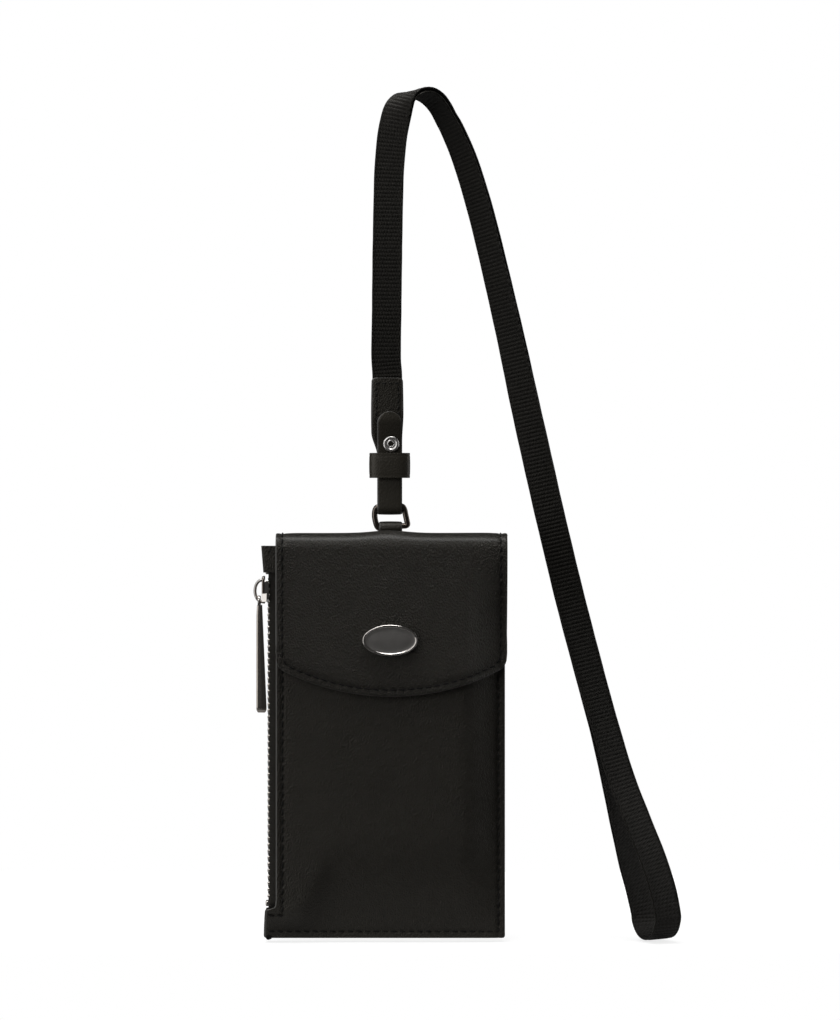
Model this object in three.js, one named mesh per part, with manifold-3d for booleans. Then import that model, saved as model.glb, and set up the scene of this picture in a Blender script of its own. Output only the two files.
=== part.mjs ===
// A neck pouch wallet: a flat leather pouch with a flap pocket and a side zip pocket, hung by a
// D-ring from a doubled webbing neck strap. Millimetres. +X is to the right seen from the front,
// -Y is the front, +Z is up. The origin is the point inside the strap's top fold that it hangs from.

import * as THREE from "three";
import { mergeVertices } from "three/addons/utils/BufferGeometryUtils.js";
import Module from "manifold-3d";

const wasm = await Module();
wasm.setup();

// ---- Driving dimensions -------------------------------------------------------------------

const LEATHER = 1.2; // panels
const FLAP_LEATHER = 1.1;
const LINING = 0.4;
const DIVIDER = 0.6;
const GAP = 0.2; // between layers that are sewn together
const LINING_INSET = 1.5; // linings stop short of the cut edges
const CLEARANCE = 0.3; // round a disc, rod or tape in its hole
const SEAT_GAP = 0.05; // under a disc that sits in its recess
const STRAP_LEATHER = 1.0; // narrow strap, cover and D-ring tab

// Pouch, in the row frame. Each layer lies in front of the last one.
const PANEL_LEFT = -48.0; // cut edge beside the zip
const CORNER_LEFT = -51.5; // bottom corner that closes the zip's lower end
const PANEL_RIGHT = 28.2;
const POUCH_TOP = -143.0; // crest of the flap's fold
const FOLD_RISE = 5.0; // height of the fold's half ellipse
const FOLD_Z = POUCH_TOP - FOLD_RISE;
const MOUTH_Z = FOLD_Z + 0.4; // top edge of the pocket layers
const POUCH_BOTTOM = -277.3;
const NOTCH_BOTTOM = -267.3;
const BACK_FACE = -1.7;
const ZIP_SPREAD = 4.6; // opening between the front and back layers along the zip
const ZIP_POCKET = 0.8; // slack of the zip pocket away from the zip
const FLAP_POCKET = 4.1; // depth of the pocket under the flap
const TAPE_COVER = 7; // width beside the zip that stays flat over its tapes
const SIDE_EASE = 14; // how far in from a side the pockets reach their depth
const BOTTOM_EASE = 10; // how far up from the bottom seam they reach it

// Flap
const FLAP_LEFT = -48.3;
const FLAP_RIGHT = 28.9;
const FLAP_X = (FLAP_LEFT + FLAP_RIGHT) / 2;
const FLAP_SIDE_Z = -183.0; // where the straight sides end
const FLAP_LOW_Z = -196.9; // middle of the curved lower edge
const FLAP_ARC = 80; // radius of the lower edge
const FLAP_CORNER = 3; // width of the rounding where a side meets the lower edge
const FLAP_CORNER_RISE = 1.2; // how far its control point stands above the lower edge
const FLAP_STANDOFF = 0.5; // flap lining to front panel
const FLAP_GAP = 0.3; // flap to its lining
const HINGE_Y = -5.0; // the line along which the flap bends when it opens
const FLAP_SKIN = FLAP_STANDOFF + LINING + FLAP_GAP + FLAP_LEATHER; // front panel to flap's outer face

// Closure magnets and emblem
const MAGNET_RADIUS = 4.5;
const MAGNET_THICK = 0.45;
const MAGNET_RECESS = 0.6;
const MAGNET_Z = -189;
const CENTRE_X = -9.8;
const EMBLEM_Z = -178.3;
const EMBLEM_HALF_WIDTH = 9.2;
const EMBLEM_HALF_HEIGHT = 5.2;
const EMBLEM_RIM = 1.0;
const EMBLEM_THICK = 1.3;
const EMBLEM_SINK = 0.4; // depth of the field inside the rim
const EMBLEM_GAP = 0.1; // plate to flap
const PRONG_X = 5;
const PRONG_RADIUS = 0.6;
const WASHER_RADIUS = 2;
const WASHER_THICK = 0.35;
const WASHER_RECESS = 0.5;

// Zip: the chain closes the left side, its teeth facing -X
const ZIP_Y = -5.6;
const TAPE_THICK = 0.5;
const TAPE_HALF = 2.5; // chain centre to the tape's outer face
const TAPE_LEFT = -49.6;
const TAPE_RIGHT = -41.5;
const TAPE_TOP = -148;
const TAPE_BOTTOM = -267.0;
const TOOTH_PITCH = 2.117;
const TOOTH_THICK = 0.8;
const TOOTH_REACH = 0.8; // past the chain's centre
const SPINE_INNER = 1.3;
const SPINE_OUTER = 2.4;
const TEETH_LEFT = -51.2;
const TEETH_RIGHT = -49.8;
const TEETH_TOP = -158;
const TEETH_BOTTOM = -264.4;
const STOP_LENGTH = 1.8;
const STOP_ABOVE = 1.4; // from the top tooth to the top stop
const STOP_BELOW = 0.4; // from the last tooth to the bottom stop
const SLIDER_TOP = -157.2;
const SLIDER_LENGTH = 9.1;
const SLIDER_BOTTOM = SLIDER_TOP - SLIDER_LENGTH;
const SLIDER_HALF = 3.2;
const SLIDER_FACE = -52.4;
const SLIDER_PLATE = 0.9;
const SLIDER_FLANGE = 0.5;
const SLIDER_CORNER = 1.2;
const FLANGE_INSET = 1.3; // the side flanges stop short of the slider's ends
const BRIDGE_WIRE = 0.55;
const BRIDGE_BEND = 1.5; // radius of the bridge's corners
const BRIDGE_X = -53.1; // centre of the bridge's corners
const BRIDGE_TOP = -161.4;
const BACK_PLATE = 0.8; // the slider's inner plate
const PULLER_PIVOT_Z = -164.0;
const PULLER_FRONT = -54.3;
const PULLER_END = -202.5;
const PULLER_BACK = -51.8; // inner face at the thick lower end
const PULLER_HALF = 2.5; // half width at the rounded lower end
const WAIST_HALF = 1.5;
const WAIST_DROP = 2.6; // from the eye's centre to the waist
const EYE_RADIUS = 1.7;
const EYE_HOLE = 1.1;
const EYE_HALF = 0.55; // half the thickness of the puller at its eye
const END_TAB = { left: -52.6, right: -48.5, top: -147.2, bottom: -156, lean: 0.7, wall: 0.8 };

// D-ring and the leather strap above it
const STRAP_X = -10.1;
const RING_WIRE = 0.85;
const RING_BAR_Z = -141.45;
const RING_TOP_Z = -134.35;
const RING_HALF = 5.65; // widest, a little above the bar
const TAB_WIDTH = 8.3;
const TAB_BOTTOM = -158;
const TAB_FACES = [-1.4, -0.4, -0.2, 0.8]; // front ply's two faces, then the back ply's
const FOLD_CENTRE_Z = -134.7;
const FOLD_INNER = 1.35;
const FOLD_OUTER = FOLD_INNER + STRAP_LEATHER;
const LEAF_TIP = -102.3;
const LEAF_FRONT = -4.8; // the leaf's front face where it lies on the cover
const LEAF_BEND = [-110.2, -105.5]; // heights between which its front face leans forward
const LEAF_BEND_BACK = [-109.9, -105.2]; // and its back face
const BACK_PLY_LOW = -118; // where the folded strap meets the wide back ply
const ANCHOR_X = -10.9;
const ANCHOR_WIDTH = 11;
const ANCHOR_TOP = -91.3;
const ANCHOR_CORNER = 0.8;
const ANCHOR_NARROW = [-112, -109, -105.5]; // end, control and start of the narrowing below
const COVER_FRONT = -3.5; // the cover's front face over the webbing
const COVER_BEND = [-109.4, -104.9]; // heights between which its front face leans forward
const COVER_BEND_BACK = [-109.1, -104.6]; // and its back face
const COVER_LOW = -118;
const SCREW_X = STRAP_X + 0.5;
const SCREW_Z = -113.3;
const SCREW_HEAD = 2.7;
const SCREW_SHANK = 0.95;
const POST_RADIUS = 1.6;
const POST_BORE = 1.15;
const POST_FRONT = -1.15;
const THREAD_END = 1.6; // how far the shank reaches into the post
const KEEPER = {
  top: -116.3, length: 8.3, halfWidth: 6.85, halfDepth: 3.95, wall: 1.3, corner: 2.2,
};

// Webbing
const WEB_WIDTH = 10;
const WEB_THICK = 1.3;
const WEB_CHAMFER = 0.35;

// ---- Materials ----------------------------------------------------------------------------

const look = (color, roughness, metalness) =>
  new THREE.MeshStandardMaterial({ color, roughness, metalness });
const leatherLook = look(0x14120f, 0.45, 0);
const liningLook = look(0x1d1c1b, 0.8, 0);
const webbingLook = look(0x151412, 0.85, 0);
const tapeLook = look(0x11100f, 0.9, 0);
const polishedLook = look(0xb9b7b2, 0.18, 1);
const gunmetalLook = look(0x77736d, 0.25, 1);
const magnetLook = look(0x8d8d8f, 0.4, 1);

// ---- Geometry helpers ---------------------------------------------------------------------

const wallet = new THREE.Group();

function place(name, geometry, material) {
  const mesh = new THREE.Mesh(geometry, material);
  mesh.name = name;
  wallet.add(mesh);
}

// A closed BufferGeometry as a manifold solid, and back.
function solidOf(geometry) {
  const bare = geometry.clone();
  bare.deleteAttribute("normal");
  bare.deleteAttribute("uv");
  const merged = mergeVertices(bare, 1e-4);
  return new wasm.Manifold(new wasm.Mesh({
    numProp: 3,
    vertProperties: new Float32Array(merged.attributes.position.array),
    triVerts: new Uint32Array(merged.index.array),
  }));
}

function geometryOf(solid) {
  const mesh = solid.getMesh();
  const geometry = new THREE.BufferGeometry();
  geometry.setAttribute("position", new THREE.BufferAttribute(mesh.vertProperties, 3));
  geometry.setIndex(new THREE.BufferAttribute(mesh.triVerts, 1));
  geometry.computeVertexNormals();
  return geometry;
}

const joined = (first, ...rest) =>
  geometryOf(rest.reduce((all, next) => all.add(solidOf(next)), solidOf(first)));
const cut = (first, ...tools) =>
  geometryOf(tools.reduce((left, tool) => left.subtract(solidOf(tool)), solidOf(first)));
const common = (first, second) => geometryOf(solidOf(first).intersect(solidOf(second)));

// Outlines drawn in (x, y), (y, z) or (x, z) and extruded along the third axis.
const X = new THREE.Vector3(1, 0, 0);
const Y = new THREE.Vector3(0, 1, 0);
const Z = new THREE.Vector3(0, 0, 1);

function extrude(shape, depth, curveSegments, ...basis) {
  const geometry = new THREE.ExtrudeGeometry(shape, { depth, bevelEnabled: false, curveSegments });
  return geometry.applyMatrix4(new THREE.Matrix4().makeBasis(...basis));
}

const alongZ = (shape, low, high, segments = 6) =>
  extrude(shape, high - low, segments, X, Y, Z).translate(0, 0, low);
const alongX = (shape, low, high, segments = 6) =>
  extrude(shape, high - low, segments, Y, Z, X).translate(low, 0, 0);
const alongY = (shape, low, high, segments = 6) =>
  extrude(shape, high - low, segments, X, Z, Y.clone().negate()).translate(0, high, 0);

function box(x0, x1, y0, y1, z0, z1) {
  const geometry = new THREE.BoxGeometry(x1 - x0, y1 - y0, z1 - z0);
  return geometry.translate((x0 + x1) / 2, (y0 + y1) / 2, (z0 + z1) / 2);
}

// A disc or rod whose axis is parallel to Y.
const rodY = (x, z, radius, low, high, sides = 20) =>
  new THREE.CylinderGeometry(radius, radius, high - low, sides).translate(x, (low + high) / 2, z);

function polygon(points) {
  return new THREE.Shape(points.map(([a, b]) => new THREE.Vector2(a, b)));
}

// A rectangle centred on (a, b) with rounded corners.
function rounded(a, b, halfWidth, halfHeight, radius) {
  const shape = new THREE.Shape();
  const right = a + halfWidth - radius;
  const left = a - halfWidth + radius;
  const top = b + halfHeight - radius;
  const bottom = b - halfHeight + radius;
  shape.absarc(right, top, radius, 0, Math.PI / 2);
  shape.absarc(left, top, radius, Math.PI / 2, Math.PI);
  shape.absarc(left, bottom, radius, Math.PI, 1.5 * Math.PI);
  shape.absarc(right, bottom, radius, 1.5 * Math.PI, 2 * Math.PI);
  return shape;
}

// ---- Pouch layers -------------------------------------------------------------------------

function ease(t) {
  const c = Math.min(1, Math.max(0, t));
  return c * c * (3 - 2 * c);
}

const besideZip = (x) => 1 - ease((x - PANEL_LEFT - TAPE_COVER) / SIDE_EASE);
const fromRight = (x) => ease((PANEL_RIGHT - x) / SIDE_EASE);
const fromBottom = (z) => ease((z - POUCH_BOTTOM) / BOTTOM_EASE);

// Depth of the zip pocket and of the flap pocket at a place on the pouch.
const zipDepth = (x, z) =>
  GAP + fromBottom(z) * (ZIP_SPREAD * besideZip(x) + ZIP_POCKET * (1 - besideZip(x)) * fromRight(x));
const flapDepth = (x, z) => GAP + FLAP_POCKET * fromBottom(z) * (1 - besideZip(x)) * fromRight(x);

// The back face of each layer, from the back of the pouch to its front.
const backLiningY = () => BACK_FACE - LEATHER - GAP;
const dividerY = (x, z) => backLiningY() - LINING - zipDepth(x, z);
const frontLiningY = (x, z) => dividerY(x, z) - DIVIDER - flapDepth(x, z);
const frontPanelY = (x, z) => frontLiningY(x, z) - LINING - GAP;
const frontFaceY = (x, z) => frontPanelY(x, z) - LEATHER;

// A sheet of even thickness whose back face follows backOf(x, z). All sheets share one grid, so
// that neighbouring layers stay the same distance apart, and inset trims a sheet's three edges.
function layer(backOf, thickness, inset) {
  const sheet = new THREE.BoxGeometry(
    PANEL_RIGHT - CORNER_LEFT, thickness, MOUTH_Z - POUCH_BOTTOM, 16, 1, 14);
  sheet.translate((CORNER_LEFT + PANEL_RIGHT) / 2, -thickness / 2, (POUCH_BOTTOM + MOUTH_Z) / 2);
  const points = sheet.attributes.position;
  for (let i = 0; i < points.count; i += 1) {
    points.setY(i, points.getY(i) + backOf(points.getX(i), points.getZ(i)));
  }
  if (inset === 0) return sheet;
  const kept = box(
    PANEL_LEFT + inset, PANEL_RIGHT - inset, -20, 5, POUCH_BOTTOM + inset, MOUTH_Z + 1);
  return common(sheet, kept);
}

// The cut that leaves the zip bare above the bottom corner.
function zipNotch() {
  const radius = 2;
  const left = CORNER_LEFT - 1;
  const notch = new THREE.Shape();
  notch.moveTo(left, NOTCH_BOTTOM);
  notch.lineTo(PANEL_LEFT - radius, NOTCH_BOTTOM);
  notch.absarc(PANEL_LEFT - radius, NOTCH_BOTTOM + radius, radius, -Math.PI / 2, 0);
  notch.lineTo(PANEL_LEFT, POUCH_TOP + 1);
  notch.lineTo(left, POUCH_TOP + 1);
  return alongY(notch, -20, 5);
}

function addLayers() {
  const magnetSeat = frontPanelY(CENTRE_X, MAGNET_Z);
  const front = layer(frontPanelY, LEATHER, 0);
  const recess = rodY(
    CENTRE_X, MAGNET_Z, MAGNET_RADIUS + CLEARANCE, magnetSeat - MAGNET_RECESS, magnetSeat + 1);
  place("front_panel", cut(front, zipNotch(), recess), leatherLook);
  const pocketMagnet = rodY(
    CENTRE_X, MAGNET_Z, MAGNET_RADIUS,
    magnetSeat - SEAT_GAP - MAGNET_THICK, magnetSeat - SEAT_GAP);
  place("pocket_magnet", pocketMagnet, magnetLook);
  place("front_lining", layer(frontLiningY, LINING, LINING_INSET), liningLook);
  place("pocket_divider", layer(dividerY, DIVIDER, LINING_INSET), liningLook);
  const back = backLiningY();
  const backLining = box(
    TAPE_RIGHT + 1, PANEL_RIGHT - LINING_INSET, back - LINING, back,
    POUCH_BOTTOM + LINING_INSET, FOLD_Z);
  place("back_lining", backLining, liningLook);
}

// ---- Flap and back panel: one skin that folds over the pouch's top ------------------------

const FLAP_FACE = frontFaceY(CENTRE_X, MAGNET_Z) - FLAP_SKIN;
const FOLD_HALF = (BACK_FACE - FLAP_FACE) / 2;
const FOLD_Y = (BACK_FACE + FLAP_FACE) / 2;
const HINGE_ANGLE = Math.acos((HINGE_Y - FOLD_Y) / FOLD_HALF);
const HINGE_SLIT = 0.05; // half the slit at the hinge line, in radians round the fold

// Outer face of the flap below the fold: flat across at the top, then following the front panel.
function flapFaceY(x, z) {
  const follow = ease((FOLD_Z - z) / 30);
  return FLAP_FACE + follow * (frontFaceY(x, Math.min(z, MOUTH_Z)) - FLAP_SKIN - FLAP_FACE);
}

// A point of the skin at depth below its outer face: turn is the angle round the fold, from 0 at the
// back face to pi at the front, and drop is the distance down from the fold.
function foldPoint(depth, turn) {
  return [FOLD_Y + (FOLD_HALF - depth) * Math.cos(turn), FOLD_Z + (FOLD_RISE - depth) * Math.sin(turn)];
}

// The box's Z runs along the skin from 0 to 1, and its Y is 0 at the outer face and -1 at the inner.
function bend(geometry, pointAt) {
  const points = geometry.attributes.position;
  for (let i = 0; i < points.count; i += 1) {
    const [y, z] = pointAt(points.getX(i), points.getY(i), points.getZ(i));
    points.setXYZ(i, points.getX(i), y, z);
  }
  return geometry;
}

function flapSheet(outer, inner) {
  const foldShare = 0.4;
  const start = HINGE_ANGLE + HINGE_SLIT;
  const sheet = new THREE.BoxGeometry(FLAP_RIGHT - FLAP_LEFT, 1, 1, 18, 1, 16);
  sheet.translate(FLAP_X, -0.5, 0.5);
  return bend(sheet, (x, across, along) => {
    const depth = outer - across * (inner - outer);
    if (along <= foldShare) {
      return foldPoint(depth, start + (Math.PI - start) * (along / foldShare));
    }
    const z = FOLD_Z + (FLAP_LOW_Z - 1 - FOLD_Z) * ((along - foldShare) / (1 - foldShare));
    return [flapFaceY(x, z) + depth, z];
  });
}

function flapOutline(inset) {
  const half = (FLAP_RIGHT - FLAP_LEFT) / 2 - inset;
  const radius = FLAP_ARC - inset;
  const centreZ = FLAP_LOW_Z + FLAP_ARC;
  const swing = Math.asin((half - FLAP_CORNER) / radius);
  const cornerZ = centreZ - radius * Math.cos(swing);
  const outline = new THREE.Shape();
  outline.moveTo(FLAP_X + half, POUCH_TOP + 1);
  outline.lineTo(FLAP_X - half, POUCH_TOP + 1);
  outline.lineTo(FLAP_X - half, FLAP_SIDE_Z);
  outline.quadraticCurveTo(
    FLAP_X - half, cornerZ + FLAP_CORNER_RISE, FLAP_X - half + FLAP_CORNER, cornerZ);
  outline.absarc(FLAP_X, centreZ, radius, -Math.PI / 2 - swing, -Math.PI / 2 + swing);
  outline.quadraticCurveTo(
    FLAP_X + half, cornerZ + FLAP_CORNER_RISE, FLAP_X + half, FLAP_SIDE_Z);
  return alongY(outline, -20, 5, 10);
}

function addFlap() {
  const inner = FLAP_FACE + FLAP_LEATHER;
  const prongs = [-PRONG_X, PRONG_X].map((side) => CENTRE_X + side);
  const seat = inner - SEAT_GAP;
  const tools = [
    rodY(CENTRE_X, MAGNET_Z, MAGNET_RADIUS + CLEARANCE, inner - MAGNET_RECESS, inner + 1),
  ];
  prongs.forEach((x) => {
    tools.push(rodY(x, EMBLEM_Z, PRONG_RADIUS + CLEARANCE, FLAP_FACE - 1, inner + 1, 12));
    tools.push(rodY(x, EMBLEM_Z, WASHER_RADIUS + CLEARANCE, inner - WASHER_RECESS, inner + 1));
  });
  const skin = flapSheet(0, FLAP_LEATHER);
  place("flap", cut(common(skin, flapOutline(0)), ...tools), leatherLook);

  const outer = FLAP_LEATHER + FLAP_GAP;
  const lining = flapSheet(outer, outer + LINING);
  place("flap_lining", common(lining, flapOutline(1)), liningLook);

  const magnet = rodY(CENTRE_X, MAGNET_Z, MAGNET_RADIUS, seat - MAGNET_THICK, seat);
  place("flap_magnet", magnet, magnetLook);

  ["left", "right"].forEach((side, i) => {
    const disc = rodY(prongs[i], EMBLEM_Z, WASHER_RADIUS, seat - WASHER_THICK, seat);
    const eye = rodY(prongs[i], EMBLEM_Z, PRONG_RADIUS + CLEARANCE / 2, inner - 2, inner + 1, 12);
    place(`emblem_washer_${side}`, cut(disc, eye), gunmetalLook);
  });

  const front = FLAP_FACE - EMBLEM_GAP;
  const oval = (inset) => new THREE.Shape().absellipse(
    CENTRE_X, EMBLEM_Z, EMBLEM_HALF_WIDTH - inset, EMBLEM_HALF_HEIGHT - inset, 0, 2 * Math.PI);
  const plate = alongY(oval(0), front - EMBLEM_THICK, front, 20);
  const field = alongY(oval(EMBLEM_RIM), front - EMBLEM_THICK - 1, front - EMBLEM_THICK + EMBLEM_SINK, 20);
  const pins = prongs.map((x) => rodY(x, EMBLEM_Z, PRONG_RADIUS, front - 0.3, inner - 0.1, 12));
  place("emblem_plate", joined(cut(plate, field), ...pins), polishedLook);
}

function addBackPanel() {
  const foldShare = 0.5;
  const end = HINGE_ANGLE - HINGE_SLIT;
  const skin = new THREE.BoxGeometry(FLAP_RIGHT - FLAP_LEFT, 1, 1, 1, 1, 12);
  skin.translate(FLAP_X, -0.5, 0.5);
  const overlap = 3;
  bend(skin, (x, across, along) => {
    const depth = -across * LEATHER;
    if (along < foldShare) {
      return [BACK_FACE - depth, FOLD_Z - overlap * (1 - along / foldShare)];
    }
    return foldPoint(depth, end * ((along - foldShare) / (1 - foldShare)));
  });
  const plate = box(
    CORNER_LEFT, PANEL_RIGHT, BACK_FACE - LEATHER, BACK_FACE, POUCH_BOTTOM, FOLD_Z - overlap / 2);
  place("back_panel", joined(skin, cut(plate, zipNotch())), leatherLook);
}

// ---- Zip ----------------------------------------------------------------------------------

// side is +1 for the back half of the chain and -1 for the front half.
function addZipHalf(label, side, phase) {
  const across = (a, b) => [ZIP_Y + side * a, ZIP_Y + side * b].sort((p, q) => p - q);
  const tape = box(
    TAPE_LEFT, TAPE_RIGHT, ...across(TAPE_HALF - TAPE_THICK, TAPE_HALF), TAPE_BOTTOM, TAPE_TOP);
  place(`zip_tape_${label}`, tape, tapeLook);

  const outline = [[SPINE_OUTER, TEETH_TOP], [SPINE_OUTER, TEETH_BOTTOM], [SPINE_INNER, TEETH_BOTTOM]];
  const count = Math.floor((TEETH_TOP - TEETH_BOTTOM - phase - TOOTH_THICK) / TOOTH_PITCH) + 1;
  for (let i = count - 1; i >= 0; i -= 1) {
    const top = TEETH_TOP - phase - i * TOOTH_PITCH;
    outline.push(
      [SPINE_INNER, top - TOOTH_THICK], [-TOOTH_REACH, top - TOOTH_THICK],
      [-TOOTH_REACH, top], [SPINE_INNER, top]);
  }
  outline.push([SPINE_INNER, TEETH_TOP]);
  const comb = polygon(outline.map(([reach, z]) => [ZIP_Y + side * reach, z]));
  place(`zip_teeth_${label}`, alongX(comb, TEETH_LEFT, TEETH_RIGHT), polishedLook);
}

function addZipStops() {
  const half = SPINE_OUTER - 0.4;
  const stop = (top) => box(
    TEETH_LEFT, TEETH_RIGHT, ZIP_Y - half, ZIP_Y + half, top - STOP_LENGTH, top);
  place("zip_stop_top", stop(TEETH_TOP + STOP_LENGTH + STOP_ABOVE), polishedLook);
  place("zip_stop_bottom", stop(TEETH_BOTTOM - STOP_BELOW), polishedLook);
}

// A round wire along the points of a curve.
function wire(curve, radius, steps, sides) {
  const section = new THREE.Shape().absarc(0, 0, radius, 0, 2 * Math.PI);
  return new THREE.ExtrudeGeometry(section, { steps, curveSegments: sides, extrudePath: curve });
}

function bridgeCurve() {
  const inside = SLIDER_FACE + SLIDER_PLATE / 2;
  const path = new THREE.CurvePath();
  const corner = (z, from) => {
    const arc = [];
    for (let i = 0; i <= 4; i += 1) {
      const turn = from + (i / 4) * (Math.PI / 2);
      arc.push(new THREE.Vector3(
        BRIDGE_X - BRIDGE_BEND * Math.sin(turn), ZIP_Y, z + BRIDGE_BEND * Math.cos(turn)));
    }
    return arc;
  };
  const points = [
    new THREE.Vector3(inside, ZIP_Y, BRIDGE_TOP + BRIDGE_BEND),
    ...corner(BRIDGE_TOP, 0),
    ...corner(PULLER_PIVOT_Z, Math.PI / 2),
    new THREE.Vector3(inside, ZIP_Y, PULLER_PIVOT_Z - BRIDGE_BEND),
  ];
  points.slice(1).forEach((point, i) => path.add(new THREE.LineCurve3(points[i], point)));
  return path;
}

function addSlider() {
  const inner = SLIDER_FACE + SLIDER_PLATE;
  const middle = (SLIDER_TOP + SLIDER_BOTTOM) / 2;
  const face = rounded(ZIP_Y, middle, SLIDER_HALF, SLIDER_LENGTH / 2, SLIDER_CORNER);
  const plate = alongX(face, SLIDER_FACE, inner);
  const flange = (side) => box(
    inner - 0.2, TAPE_LEFT - 0.4,
    ZIP_Y + side * (SLIDER_HALF - SLIDER_FLANGE / 2) - SLIDER_FLANGE / 2,
    ZIP_Y + side * (SLIDER_HALF - SLIDER_FLANGE / 2) + SLIDER_FLANGE / 2,
    SLIDER_BOTTOM + FLANGE_INSET, SLIDER_TOP - FLANGE_INSET);
  const bridge = wire(bridgeCurve(), BRIDGE_WIRE, 14, 6);
  place("zip_slider", joined(plate, flange(-1), flange(1), bridge), polishedLook);

  const backHalf = TAPE_HALF - TAPE_THICK - CLEARANCE;
  const back = rounded(ZIP_Y, middle, backHalf, SLIDER_LENGTH / 2, 1);
  const near = TAPE_LEFT + CLEARANCE;
  place("zip_slider_plate", alongX(back, near, near + BACK_PLATE), polishedLook);
}

// The puller hangs by its eye from the bridge's lower leg, and lies flat along the zip.
function addPuller() {
  const eyeZ = PULLER_PIVOT_Z - BRIDGE_BEND;
  const back = BRIDGE_X + EYE_HALF;
  const waist = eyeZ - WAIST_DROP;
  const face = new THREE.Shape();
  face.absarc(ZIP_Y, eyeZ, EYE_RADIUS, Math.PI, 0, true);
  face.lineTo(ZIP_Y + WAIST_HALF, waist);
  face.absarc(ZIP_Y, PULLER_END + PULLER_HALF, PULLER_HALF, 0, -Math.PI, true);
  face.lineTo(ZIP_Y - WAIST_HALF, waist);
  const side = polygon([
    [BRIDGE_X - EYE_HALF, eyeZ + 2], [BRIDGE_X - EYE_HALF, eyeZ - 1.4], [PULLER_FRONT, waist],
    [PULLER_FRONT, PULLER_END - 1], [PULLER_BACK, PULLER_END - 1], [back, waist], [back, eyeZ + 2],
  ]);
  const bar = common(
    alongX(face, PULLER_FRONT - 1, back + 2, 8), alongY(side, ZIP_Y - 4, ZIP_Y + 4));
  const eye = new THREE.CylinderGeometry(EYE_HOLE, EYE_HOLE, 6, 16).rotateZ(Math.PI / 2);
  eye.translate(BRIDGE_X, ZIP_Y, eyeZ);
  place("zip_puller", cut(bar, eye), polishedLook);
}

function addZipEndTab() {
  const { left, right, top, bottom, lean, wall } = END_TAB;
  const outline = polygon([[left, top], [left + lean, bottom], [right, bottom], [right, top]]);
  const hollow = TAPE_HALF + CLEARANCE;
  const half = hollow + wall;
  const inside = box(
    left + lean + wall - CLEARANCE, right + 1, ZIP_Y - hollow, ZIP_Y + hollow, bottom - 1, top + 1);
  place("zip_end_tab", cut(alongY(outline, ZIP_Y - half, ZIP_Y + half), inside), leatherLook);
}

// ---- D-ring and leather strap -------------------------------------------------------------

function addRing() {
  // One side of the arch, from the bar up to the middle of the flat top.
  const side = [
    [4.6, RING_BAR_Z], [5.4, RING_BAR_Z + 0.75], [RING_HALF, RING_BAR_Z + 2.3],
    [5.4, RING_TOP_Z - 1.9], [4.5, RING_TOP_Z - 0.5], [2.4, RING_TOP_Z],
  ];
  const outline = [
    ...side.map(([x, z]) => [-x, z]), [0, RING_TOP_Z], ...side.slice().reverse(),
  ];
  const arch = new THREE.CatmullRomCurve3(
    outline.map(([x, z]) => new THREE.Vector3(STRAP_X + x, 0, z)));
  const bar = new THREE.CylinderGeometry(RING_WIRE, RING_WIRE, 10, 10).rotateZ(Math.PI / 2);
  bar.translate(STRAP_X, 0, RING_BAR_Z);
  place("d_ring", joined(bar, wire(arch, RING_WIRE, 24, 10)), gunmetalLook);
}

// Folded leather round the ring's straight bar; its two plies run down the pouch's back.
function addRingTab() {
  const inner = RING_WIRE + GAP;
  const outer = inner + STRAP_LEATHER;
  const [frontFace, frontSlit, backSlit, backFace] = TAB_FACES;
  const at = (y, radius) => Math.atan2(-Math.sqrt(radius * radius - y * y), y);
  const turn = 2 * Math.PI;
  const profile = new THREE.Shape();
  profile.moveTo(frontFace, TAB_BOTTOM);
  profile.absarc(0, RING_BAR_Z, outer, at(frontFace, outer) + turn, at(backFace, outer), true);
  profile.lineTo(backFace, TAB_BOTTOM);
  profile.lineTo(backSlit, TAB_BOTTOM);
  profile.absarc(0, RING_BAR_Z, inner, at(backSlit, inner), at(frontSlit, inner) + turn);
  profile.lineTo(frontSlit, TAB_BOTTOM);
  const half = TAB_WIDTH / 2;
  place("d_ring_tab", alongX(profile, STRAP_X - half, STRAP_X + half, 14), leatherLook);
}

// The narrow strap: wide stitched back ply, down through the ring and up again as the front leaf.
function addStrapTab() {
  const half = TAB_WIDTH / 2;
  const profile = new THREE.Shape();
  const [bendLow, bendHigh] = LEAF_BEND;
  const [backLow, backHigh] = LEAF_BEND_BACK;
  const leafBack = LEAF_FRONT + STRAP_LEATHER;
  profile.moveTo(FOLD_OUTER, BACK_PLY_LOW);
  profile.absarc(0, FOLD_CENTRE_Z, FOLD_OUTER, 0, -Math.PI, true);
  profile.lineTo(-FOLD_OUTER, bendLow);
  profile.lineTo(LEAF_FRONT, bendHigh);
  profile.lineTo(LEAF_FRONT, LEAF_TIP);
  profile.lineTo(leafBack, LEAF_TIP);
  profile.lineTo(leafBack, backHigh);
  profile.lineTo(-FOLD_INNER, backLow);
  profile.absarc(0, FOLD_CENTRE_Z, FOLD_INNER, Math.PI, 2 * Math.PI);
  profile.lineTo(FOLD_INNER, BACK_PLY_LOW);
  const tip = new THREE.Shape();
  const below = FOLD_CENTRE_Z - 2 * FOLD_OUTER;
  tip.moveTo(STRAP_X - half, below);
  tip.lineTo(STRAP_X + half, below);
  tip.absarc(STRAP_X, LEAF_TIP - half, half, 0, Math.PI);
  const leaf = common(alongX(profile, STRAP_X - half, STRAP_X + half, 12), alongY(tip, -10, 10));
  const back = alongY(anchorOutline(BACK_PLY_LOW - 2), FOLD_INNER, FOLD_OUTER);
  place("strap_tab", cut(joined(leaf, back), screwHole()), leatherLook);
}

function screwHole() {
  return rodY(SCREW_X, SCREW_Z, POST_RADIUS + CLEARANCE, -10, 10, 16);
}

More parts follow.
